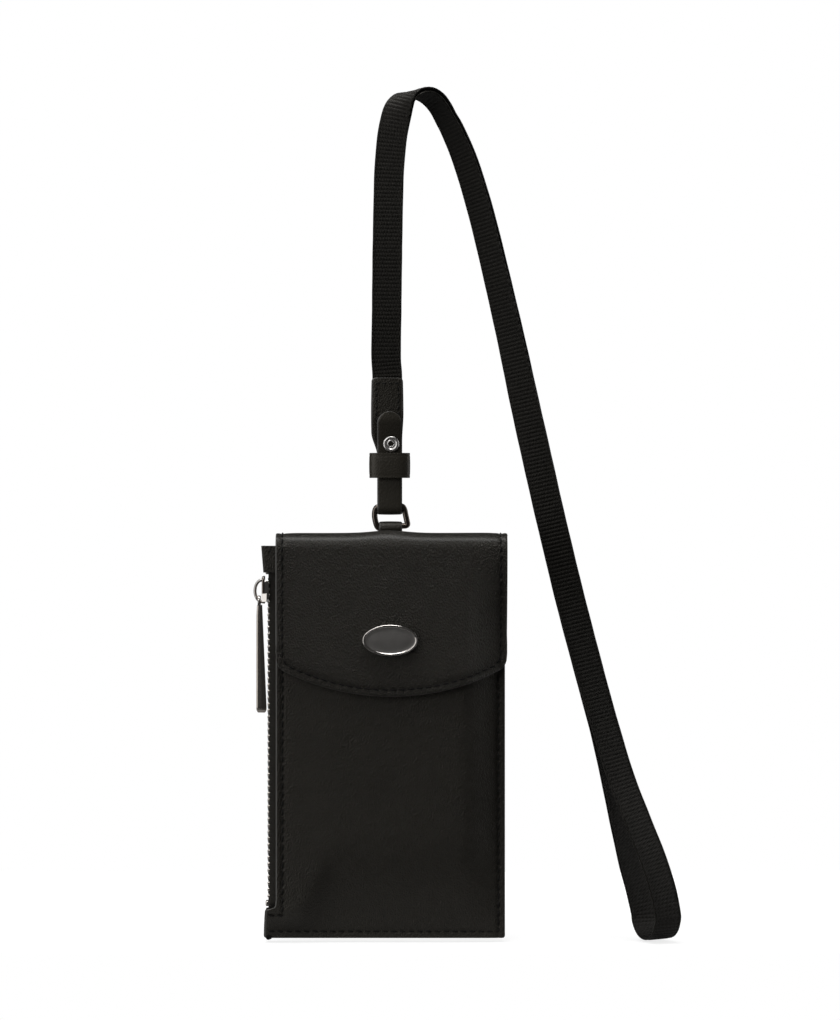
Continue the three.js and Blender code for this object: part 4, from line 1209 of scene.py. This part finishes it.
def make_ring_tab():
    """The leather loop round the ring's straight bar, sewn to the back of the pouch."""
    low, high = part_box("d_ring_tab")
    outer = high.y + 0.4 * MM
    front_y = -1.4 * MM
    back_y = 0.8 * MM
    loop_foot = RING_BAR_Z - 3.0 * MM
    line = [(back_y, low.z), (back_y, loop_foot)]
    line += arc((0, RING_BAR_Z), outer, -25, 205, 22)
    line += [(front_y, loop_foot), (front_y, low.z)]
    strip = Strip(smooth_line(line, 0.3 * MM))
    shift = 0.3 * MM
    plain = 6 * MM

    def edges(way):
        from_ends = ease((way - plain) / plain) * ease((strip.length - plain - way) / plain)
        narrow = 0.3 * MM * from_ends
        return low.x + shift + narrow, high.x + shift - narrow

    make_strip("ring_tab_leather", strip, edges, ["d_ring_tab"], "pouch", cover_leather, 0.95 * MM)
    inset = 1.3 * MM
    bottom = 1.4 * MM
    top = strip.at_height(RING_BAR_Z - 5.05 * MM)
    left, right = low.x + inset, high.x - inset
    path = [(left, top), (left, bottom), (right, bottom), (right, top), (left, top)]
    strap_stitches("ring_tab_stitches", strip, path, "pouch")


def make_keeper():
    """A closed band, a little crowned, with a crease pressed near each edge."""
    half_x, half_y, half_z = (KEEPER_HIGH - KEEPER_LOW) / 2
    squareness = 3.2
    round_way = circle(72)
    superellipse = np.sign(round_way) * np.abs(round_way) ** (2 / squareness)
    outline = superellipse.T * (half_x, half_y) + (STRAP_X, 0)
    share = (1 - np.cos(np.linspace(0, np.pi, 25))) / 2
    points = upright(outline, KEEPER_LOW.z + share * 2 * half_z)
    edge = np.minimum(share, 1 - share) * 2 * half_z
    groove = 0.05 * MM * np.exp(-((edge - 0.9 * MM) / (0.22 * MM)) ** 2)
    groove = groove + 0.12 * MM * (2 * share - 1) ** 2
    made = sheet(
        "keeper_leather", points, 1.3 * MM, [strap_leather_with_painted_light, strap_leather_with_painted_light], wrap=True,
        groove=groove[:, None] + 0 * points[..., 0], rim=0.3 * MM)
    settle(made, "keeper", "black_leather", "strap_keeper")


make_strap_tab()
make_strap_cover()
make_ring_tab()
make_keeper()

# ---- Metal --------------------------------------------------------------------------------


def rounded_outline(half_width, half_height, radius, steps=6):
    """A rectangle with rounded corners, as points round its middle."""
    points = []
    for quarter, (sx, sy) in enumerate([(1, 1), (-1, 1), (-1, -1), (1, -1)]):
        centre = (sx * (half_width - radius), sy * (half_height - radius))
        points += arc(centre, radius, 90 * quarter, 90 * quarter + 90, steps)
    return points


def make_ring():
    """The D-ring: a straight bar below, legs that lean in, and a top hidden in the strap's fold."""
    # (out from the ring's middle, up from the bar), in mm, round from the bar's left end. The ring
    # hangs a little askew, so its right end sits higher.
    outline = [
        (-2.6, 0.10), (0.1, 0.45), (2.9, 0.75), (4.5, 0.85), (5.5, 0.95), (5.92, 1.45), (5.67, 2.80),
        (5.25, 4.75), (4.90, 6.30), (4.15, 7.35), (2.45, 7.40), (0.1, 7.20), (-2.5, 7.15),
        (-4.15, 7.05), (-4.85, 6.00), (-5.0, 4.00), (-4.60, 1.90), (-4.10, 0.55), (-3.40, 0.05),
    ]
    stops = np.array([(RING_X + x * MM, 0, RING_BAR_Z + z * MM) for x, z in outline])
    looped = np.concatenate([stops[-2:], stops, stops[:2]])
    places = smooth_through(looped, looped, 0.25 * MM)[0]
    from_start = np.linalg.norm(places - stops[0], axis=1)
    half = len(places) // 2
    first = int(np.argmin(from_start[:half]))
    last = int(np.argmin(from_start[half:])) + half
    points = places[first:last][:, [0, 2]]
    made = wire("d_ring_wire", 0, points, RING_WIRE * 1.12, ring_metal, closed=True)
    settle(made, "ring", "dark_metal", "d_ring")


def ellipse(radius_x, radius_z, y, centre, sides):
    """A ring of points round an axis along Y."""
    x, z = circle(sides)
    return np.stack([centre.x + radius_x * x, np.full(sides, y), centre.z + radius_z * z], axis=1)


def make_emblem():
    """A plain oval plate: a rounded polished rim round a sunk, darker field."""
    low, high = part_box("emblem_plate")
    centre = (low + high) / 2
    half_x, _, half_z = (high - low) / 2
    # (in from the outline, back from the front face), in mm.
    rim = [
        (0, 1.3), (0, 0.45), (0.06, 0.22), (0.2, 0.06), (0.42, 0), (0.62, 0.03), (0.78, 0.12),
        (0.86, 0.3), (1.0, 0.34),
    ]
    field_inset = half_z / MM - 1.0
    field = [(share * field_inset + 1.0, 0.34 - 0.14 * share) for share in (0.3, 0.6, 0.85)]
    sides = 96
    rings = [
        ellipse(half_x - inset * MM, half_z - inset * MM, low.y + back * MM, centre, sides)
        for inset, back in rim + field
    ]
    slots = [0] * (sides * (len(rim) - 1)) + [1] * (sides * len(field)) + [0, 1]
    made = stack("emblem_oval", rings, [polished, satin_metal], slots)
    settle(made, "flap", "polished_metal", "emblem_plate")


def turned(name, profile, centre, radius, face, material, node, socket=()):
    """A turned piece on the strap, its profile in mm; socket lists the rings of the key's lobes.

    Profile places are (radius, back from the face), and a radius below 0 is in from the full radius.
    """
    sides = 48
    lobes = 1 + 0.16 * np.cos(6 * 2 * np.pi * np.arange(sides) / sides)
    rings = []
    for k, (out, back) in enumerate(profile):
        reach = out * MM if out > 0 else radius + out * MM
        reach = reach * (lobes if k in socket else 1)
        rings.append(ellipse(reach, reach, face + back * MM, centre, sides))
    settle(stack(name, rings, [material]), "strap", "polished_metal", node)


def make_screw():
    """The screw's dished head with its lobed key socket, and the post behind it."""
    centre = (SCREW_LOW + SCREW_HIGH) / 2
    radius = (SCREW_HIGH.x - SCREW_LOW.x) / 2
    face = SCREW_LOW.y
    shank_end = (SCREW_HIGH.y - face) / MM
    head = [
        (0.95, shank_end), (0.95, 1.05), (0, 1.05), (0, 0.5), (-0.12, 0.22), (-0.4, 0.04), (-0.75, 0),
        (-1.0, 0.1), (-1.08, 0.42), (-1.3, 0.45), (1.18, 0.3), (1.0, 0.28), (0.86, 0.4), (0.84, 0.85),
        (0.2, 0.9),
    ]
    turned("screw_head", head, centre, radius, face, screw_metal, "stud_screw", socket=(11, 12, 13))
    low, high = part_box("stud_post")
    post_end = (low.y - high.y) / MM
    post = [
        (1.15, post_end), (1.6, post_end), (1.6, -0.9), (0, -0.9), (0, -0.45), (-0.2, -0.16), (-0.6, 0),
        (0.3, 0), (0.28, -0.3), (0.05, -0.3),
    ]
    turned("screw_post", post, centre, radius, high.y, polished, "stud_post")


# ---- Zip ----------------------------------------------------------------------------------


def make_tape(name, node, side):
    """The woven tape: flat inside the pouch, rolled over a cord where the teeth sit."""
    low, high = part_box(node)
    outer = low.y if side < 0 else high.y
    roll_radius = 0.75 * MM
    roll = arc((low.x + 0.1 * MM, outer - side * roll_radius), roll_radius, 90, 270, 12)
    flat = [(low.x + 1.6 * MM, outer), (low.x + 4 * MM, outer), (high.x, outer)]
    line = flat[::-1] + roll if side > 0 else roll + flat
    points = upright(line, np.linspace(low.z, high.z, 60))
    made = sheet(name, points, 0.45 * MM, [tape_cloth, tape_cloth], rim=0)
    settle(made, "pouch", "zip_tape_cloth", node)


def make_teeth(name, node, side):
    """Separate cast teeth clamped on the tape's cord, with narrowed heads that mesh."""
    low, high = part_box(node)
    phase = TOOTH_PITCH / 2 if side < 0 else 0
    half_x = 0.48 * MM
    centre_x = high.x - 0.28 * MM
    # (out from the chain's middle in mm, share of the half width, half height in mm).
    tooth = [
        (2.50, 0.55, 0.30), (2.40, 0.90, 0.46), (2.15, 1.00, 0.52), (1.30, 1.00, 0.52),
        (0.70, 0.86, 0.46), (0.30, 0.74, 0.34), (-0.25, 0.74, 0.40), (-0.55, 0.68, 0.36),
        (-0.75, 0.45, 0.22),
    ]
    vertices = []
    faces = []
    count = int((high.z - low.z - phase - 0.8 * MM) / TOOTH_PITCH) + 1
    for i in range(count):
        z = high.z - phase - i * TOOTH_PITCH - 0.4 * MM
        for way, wide, tall in tooth:
            ring = rounded_outline(half_x * wide, tall * MM, 0.24 * MM, 3)
            vertices += [(centre_x + a, ZIP_Y + side * way * MM, z + b) for a, b in ring]
        faces += tube_faces(len(tooth), len(ring), first=i * len(tooth) * len(ring))
    made = new_object(name, vertices, faces, [tooth_metal])
    settle(made, "pouch", "polished_metal", node)


def standing_bar(x, y, bottom, height, half_x, half_y, radius, ends, steps):
    """Rings of an upright bar with eased ends: ends are (share of the height, size) pairs."""
    rings = []
    for share, size in ends:
        outline = rounded_outline(half_x * size[0], half_y * size[1], radius * size[1], steps)
        rings.append([(x + a, y + b, bottom + share * height) for a, b in outline])
    return rings


def make_stop(name, node):
    """A metal stop crimped on the end of the zip."""
    low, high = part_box(node)
    middle = (low + high) / 2
    half = (high - low) / 2
    ends = [(0, 0.8), (0.12, 0.95), (0.3, 1), (0.7, 1), (0.88, 0.95), (1, 0.8)]
    rings = standing_bar(
        middle.x, middle.y, low.z, high.z - low.z, half.x, half.y, 0.4 * MM,
        [(share, (size, size)) for share, size in ends], 5)
    settle(stack(name, rings, [polished]), "pouch", "polished_metal", node)


def plate_rings(y, z, half_y, half_z, radius, levels):
    """Rings of a plate that lies across X: levels are (x, inset) pairs."""
    rings = []
    for x, inset in levels:
        outline = rounded_outline(half_y - inset, half_z - inset, radius - inset * 0.6, 6)
        rings.append([(x, y + a, z + b) for a, b in outline])
    return rings


def make_slider_side(side):
    """The folded flange that clasps the teeth, and the bright wedge of metal beside it."""
    part = "front" if side < 0 else "back"
    half_y = (SLIDER_HIGH.y - SLIDER_LOW.y) / 2
    edge = ZIP_Y + side * half_y
    from_end = 1.3 * MM
    ends = [(0, (1, 0.8)), (0.1, (1, 1)), (0.9, (1, 1)), (1, (1, 0.8))]
    flange = standing_bar(
        SLIDER_FACE + 1.55 * MM, edge - side * 0.3 * MM, SLIDER_LOW.z + from_end,
        SLIDER_HIGH.z - SLIDER_LOW.z - 2 * from_end, 0.85 * MM, 0.28 * MM, 0.2 * MM, ends, 3)
    settle(stack(f"slider_flange_{part}", flange, [polished]), "slider", "polished_metal")
    outer = SLIDER_FACE - 0.05 * MM
    inner = SLIDER_FACE + 1.7 * MM
    hidden = edge - side * 1.5 * MM
    proud = edge + side * 0.95 * MM
    wedge = [(outer, hidden), (outer, edge + side * 0.05 * MM), (inner, proud), (inner, hidden)]
    middle = (SLIDER_HIGH.z + SLIDER_LOW.z) / 2
    cheek = upright(wedge, [middle - 4.0 * MM, middle - 1.2 * MM])
    bright = stack(f"slider_cheek_{part}", cheek, [polished])
    flat_shaded(bright)
    round_edges(bright, 0.1 * MM)
    settle(bright, "slider", "polished_metal")


def make_slider():
    """Outer shell with side flanges, and the bridge that carries the puller."""
    face = SLIDER_FACE
    z = (SLIDER_HIGH.z + SLIDER_LOW.z) / 2
    _, half_y, half_z = (SLIDER_HIGH - SLIDER_LOW) / 2
    shell = plate_rings(ZIP_Y, z, half_y, half_z, 1.4 * MM, [
        (face + 0.9 * MM, 0), (face + 0.35 * MM, 0), (face + 0.12 * MM, 0.1 * MM),
        (face, 0.35 * MM), (face - 0.05 * MM, 0.9 * MM)])
    made = stack("slider_shell", shell, [dark_metal])
    for side in (-1, 1):
        make_slider_side(side)
    settle(made, "slider", "polished_metal", "zip_slider")

    reach = face - SLIDER_LOW.x - 0.4 * MM
    arch = 3.6 * MM
    foot = face + 0.3 * MM
    middle = z - 0.4 * MM
    bend = [(face - reach * math.cos(t), middle + arch * math.sin(t))
            for t in np.linspace(math.pi / 2, -math.pi / 2, 25)]
    path = [(foot, middle + arch), *bend, (foot, middle - arch)]
    settle(wire("slider_bridge", ZIP_Y, path, 0.5 * MM, polished), "slider", "polished_metal")

    low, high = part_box("zip_slider_plate")
    _, half_y, half_z = (high - low) / 2
    edge = 0.15 * MM
    inner = plate_rings(ZIP_Y, z, half_y, half_z, 1 * MM, [
        (low.x, edge), (low.x + edge, 0), (high.x - edge, 0), (high.x, edge)])
    plate = stack("slider_inner_plate", inner, [polished])
    settle(plate, "slider", "polished_metal", "zip_slider_plate")


def faceted(outer, inner, half_y):
    """The puller's section: its outer corners have a narrow steep facet and a broad shallow one."""
    narrow = 0.42 * MM
    steep = 0.26 * MM
    broad = 0.42 * (inner - outer)
    shallow = 0.24 * broad
    small = 0.14 * MM
    half = [
        (inner, half_y - small), (inner - small, half_y), (outer + narrow + broad, half_y),
        (outer + narrow, half_y - shallow), (outer, half_y - shallow - steep),
    ]
    return half + [(x, -b) for x, b in half[::-1]]


def make_puller():
    """A long tapered bar, thicker to its rounded end, hung by an eye from the bridge."""
    waist = PULLER_EYE_Z - 1.3 * MM
    length = waist - PULLER_LOW.z
    bottom_x = PULLER_HIGH.x + 0.9 * MM
    round_end = 2.5 * MM
    tucked_end = 1.2 * MM
    rings = []
    for share in (0, 0.03, 0.1, 0.3, 0.5, 0.7, 0.85, 0.92, 0.955, 0.975, 0.99, 1):
        from_end = (1 - share) * length
        tuck = 0.5 * MM * max(0, 1 - from_end / tucked_end) ** 2
        outer = PULLER_LOW.x + 0.05 * MM + 0.25 * MM * max(0, 1 - share / 0.06) + tuck
        inner = SLIDER_FACE + (bottom_x - SLIDER_FACE) * share - tuck
        half_y = (1.5 + 1.0 * min(1, share / 0.93)) * MM
        if from_end < round_end:
            half_y = math.sqrt(max(round_end**2 - (round_end - from_end) ** 2, (0.9 * MM) ** 2))
        z = waist - share * length
        rings.append([(x, ZIP_Y + b, z) for x, b in faceted(outer, inner, half_y)])
    made = stack("puller_bar", rings, [puller_metal])
    flat_shaded(made)
    round_edges(made, 0.08 * MM, 2, 12)
    settle(made, "puller", "polished_metal", "zip_puller")


def make_puller_eye():
    """A flat ring whose lower side runs into the bar."""
    x = (PULLER_LOW.x + SLIDER_FACE) / 2
    section = rounded_outline(0.5 * MM, 0.36 * MM, 0.25 * MM, 3)
    vertices = []
    for cosine, sine in circle(40).T:
        stretch = 1.35 if sine < 0 else 1.0
        for across, out in section:
            r = 1.46 * MM + out
            vertices.append((x + across, ZIP_Y + r * cosine, PULLER_EYE_Z + r * sine * stretch))
    eye = new_object("puller_eye", vertices, tube_faces(40, len(section), closed=True), [polished])
    settle(eye, "puller", "polished_metal")


def make_end_tab():
    """A small leather patch folded round the zip's top end and sewn."""
    low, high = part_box("zip_end_tab")
    radius = 1.0 * MM
    right = high.x + 0.9 * MM
    rows = []
    for z in np.linspace(low.z, high.z, 30):
        left = low.x + 0.7 * MM * (high.z - z) / (high.z - low.z)
        back = [(x, high.y) for x in np.linspace(right, left + radius, 6)]
        front = [(x, low.y) for x in np.linspace(left + radius, right, 6)]
        line = back[:-1] + arc((left + radius, high.y - radius), radius, 90, 180, 7)
        line += arc((left + radius, low.y + radius), radius, 180, 270, 7) + front[1:]
        rows.append([(x, y, z) for x, y in line])
    made = sheet("end_tab_leather", np.array(rows), 1.0 * MM, [leather, edge_paint_and_highlight], rim=0.26 * MM)
    settle(made, "pouch", "black_leather", "zip_end_tab")

    def front_face(x, z):
        return np.stack([x, np.full(np.shape(x), low.y), z], axis=-1)

    tack = [(low.x + 2.2 * MM, high.z - 1.6 * MM), (low.x + 3.4 * MM, high.z - 1.9 * MM)]
    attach(stitches("end_tab_stitch", front_face, tack, 1.3 * MM, 0.26 * MM), "pouch")


make_ring()
make_emblem()
make_screw()
make_tape("zip_tape_front_cloth", "zip_tape_front", -1)
make_tape("zip_tape_back_cloth", "zip_tape_back", 1)
make_teeth("zip_teeth_front_row", "zip_teeth_front", -1)
make_teeth("zip_teeth_back_row", "zip_teeth_back", 1)
make_stop("zip_stop_top_metal", "zip_stop_top")
make_stop("zip_stop_bottom_metal", "zip_stop_bottom")
make_slider()
make_puller()
make_puller_eye()
make_end_tab()

for node in ("flap_magnet", "pocket_magnet", "emblem_washer_left", "emblem_washer_right"):
    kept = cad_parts[node]
    kept.data.materials.clear()
    kept.data.materials.append(magnet_metal)

# ---- Floor and light ----------------------------------------------------------------------


def make_floor():
    """A pale floor that fades into the white backdrop away from the object."""
    mesh = bpy.data.meshes.new("floor")
    z = cad_bounds[0].z - 0.1 * MM
    front, back, side = -36 * MM, 240 * MM, 340 * MM
    corners = [(-side, front, z), (side, front, z), (side, back, z), (-side, back, z)]
    mesh.from_pydata(corners, [], [(0, 1, 2, 3)])
    m = Nodes("pale_floor")
    away = m.add("VectorMath", operation="LENGTH")
    m.join(m.add("TexCoord").outputs["Object"], away.inputs[0])
    fade = m.add("MapRange", interpolation_type="SMOOTHSTEP")
    for socket, number in (("From Min", 0.285), ("From Max", 0.40), ("To Min", 0.8), ("To Max", 1.0)):
        fade.inputs[socket].default_value = number
    m.join(away.outputs["Value"], fade.inputs["Value"])
    # Its glow is for the eye only, so that it doesn't light the leather from below.
    seen = m.add("LightPath").outputs["Is Camera Ray"]
    glow = m.math("MULTIPLY", fade.outputs["Result"], m.spread(seen, 0.1, 1.0))
    m.value("Base Color", (0.36, 0.36, 0.36, 1))
    m.value("Roughness", 0.6)
    m.value("Specular IOR Level", 0.2)
    m.value("Emission Color", (1, 1, 1, 1))
    m.join(glow, m.shader.inputs["Emission Strength"])
    mesh.materials.append(m.material)
    in_scene("floor", mesh)


# Name, place, width, height, and power in watts.
SOFTBOXES = [
    ("top_softbox", (-0.1, -0.12, 0.8), 0.8, 0.32, 8),
    ("left_softbox", (-0.95, -0.5, 0.05), 0.8, 1.4, 5),
    ("right_softbox", (0.95, 0.25, 0.1), 0.5, 1.2, 3),
    ("front_fill", (-0.5, -1.1, 0.65), 0.6, 0.6, 3.0),
]


def make_softboxes():
    """Four soft lights, all aimed at the middle of the object."""
    middle = (0, 0, -0.14)
    for name, place, width, height, power in SOFTBOXES:
        data = bpy.data.lights.new(name, "AREA")
        data.shape = "RECTANGLE"
        data.size = width
        data.size_y = height
        data.energy = power
        aim(in_scene(name, data), place, middle)


def make_backdrop():
    """White where the camera sees it, and dim as a light."""
    world = bpy.data.worlds.new("studio")
    world.use_nodes = True
    tree = world.node_tree
    dim = tree.nodes["Background"]
    white = tree.nodes.new("ShaderNodeBackground")
    for node, strength in ((dim, 0.05), (white, 1.0)):
        node.inputs["Color"].default_value = (1, 1, 1, 1)
        node.inputs["Strength"].default_value = strength
    path = tree.nodes.new("ShaderNodeLightPath")
    mix = tree.nodes.new("ShaderNodeMixShader")
    tree.links.new(path.outputs["Is Camera Ray"], mix.inputs["Fac"])
    tree.links.new(dim.outputs["Background"], mix.inputs[1])
    tree.links.new(white.outputs["Background"], mix.inputs[2])
    tree.links.new(mix.outputs["Shader"], tree.nodes["World Output"].inputs["Surface"])
    bpy.context.scene.world = world
    bpy.context.scene.view_settings.view_transform = "Standard"


make_floor()
make_softboxes()
make_backdrop()
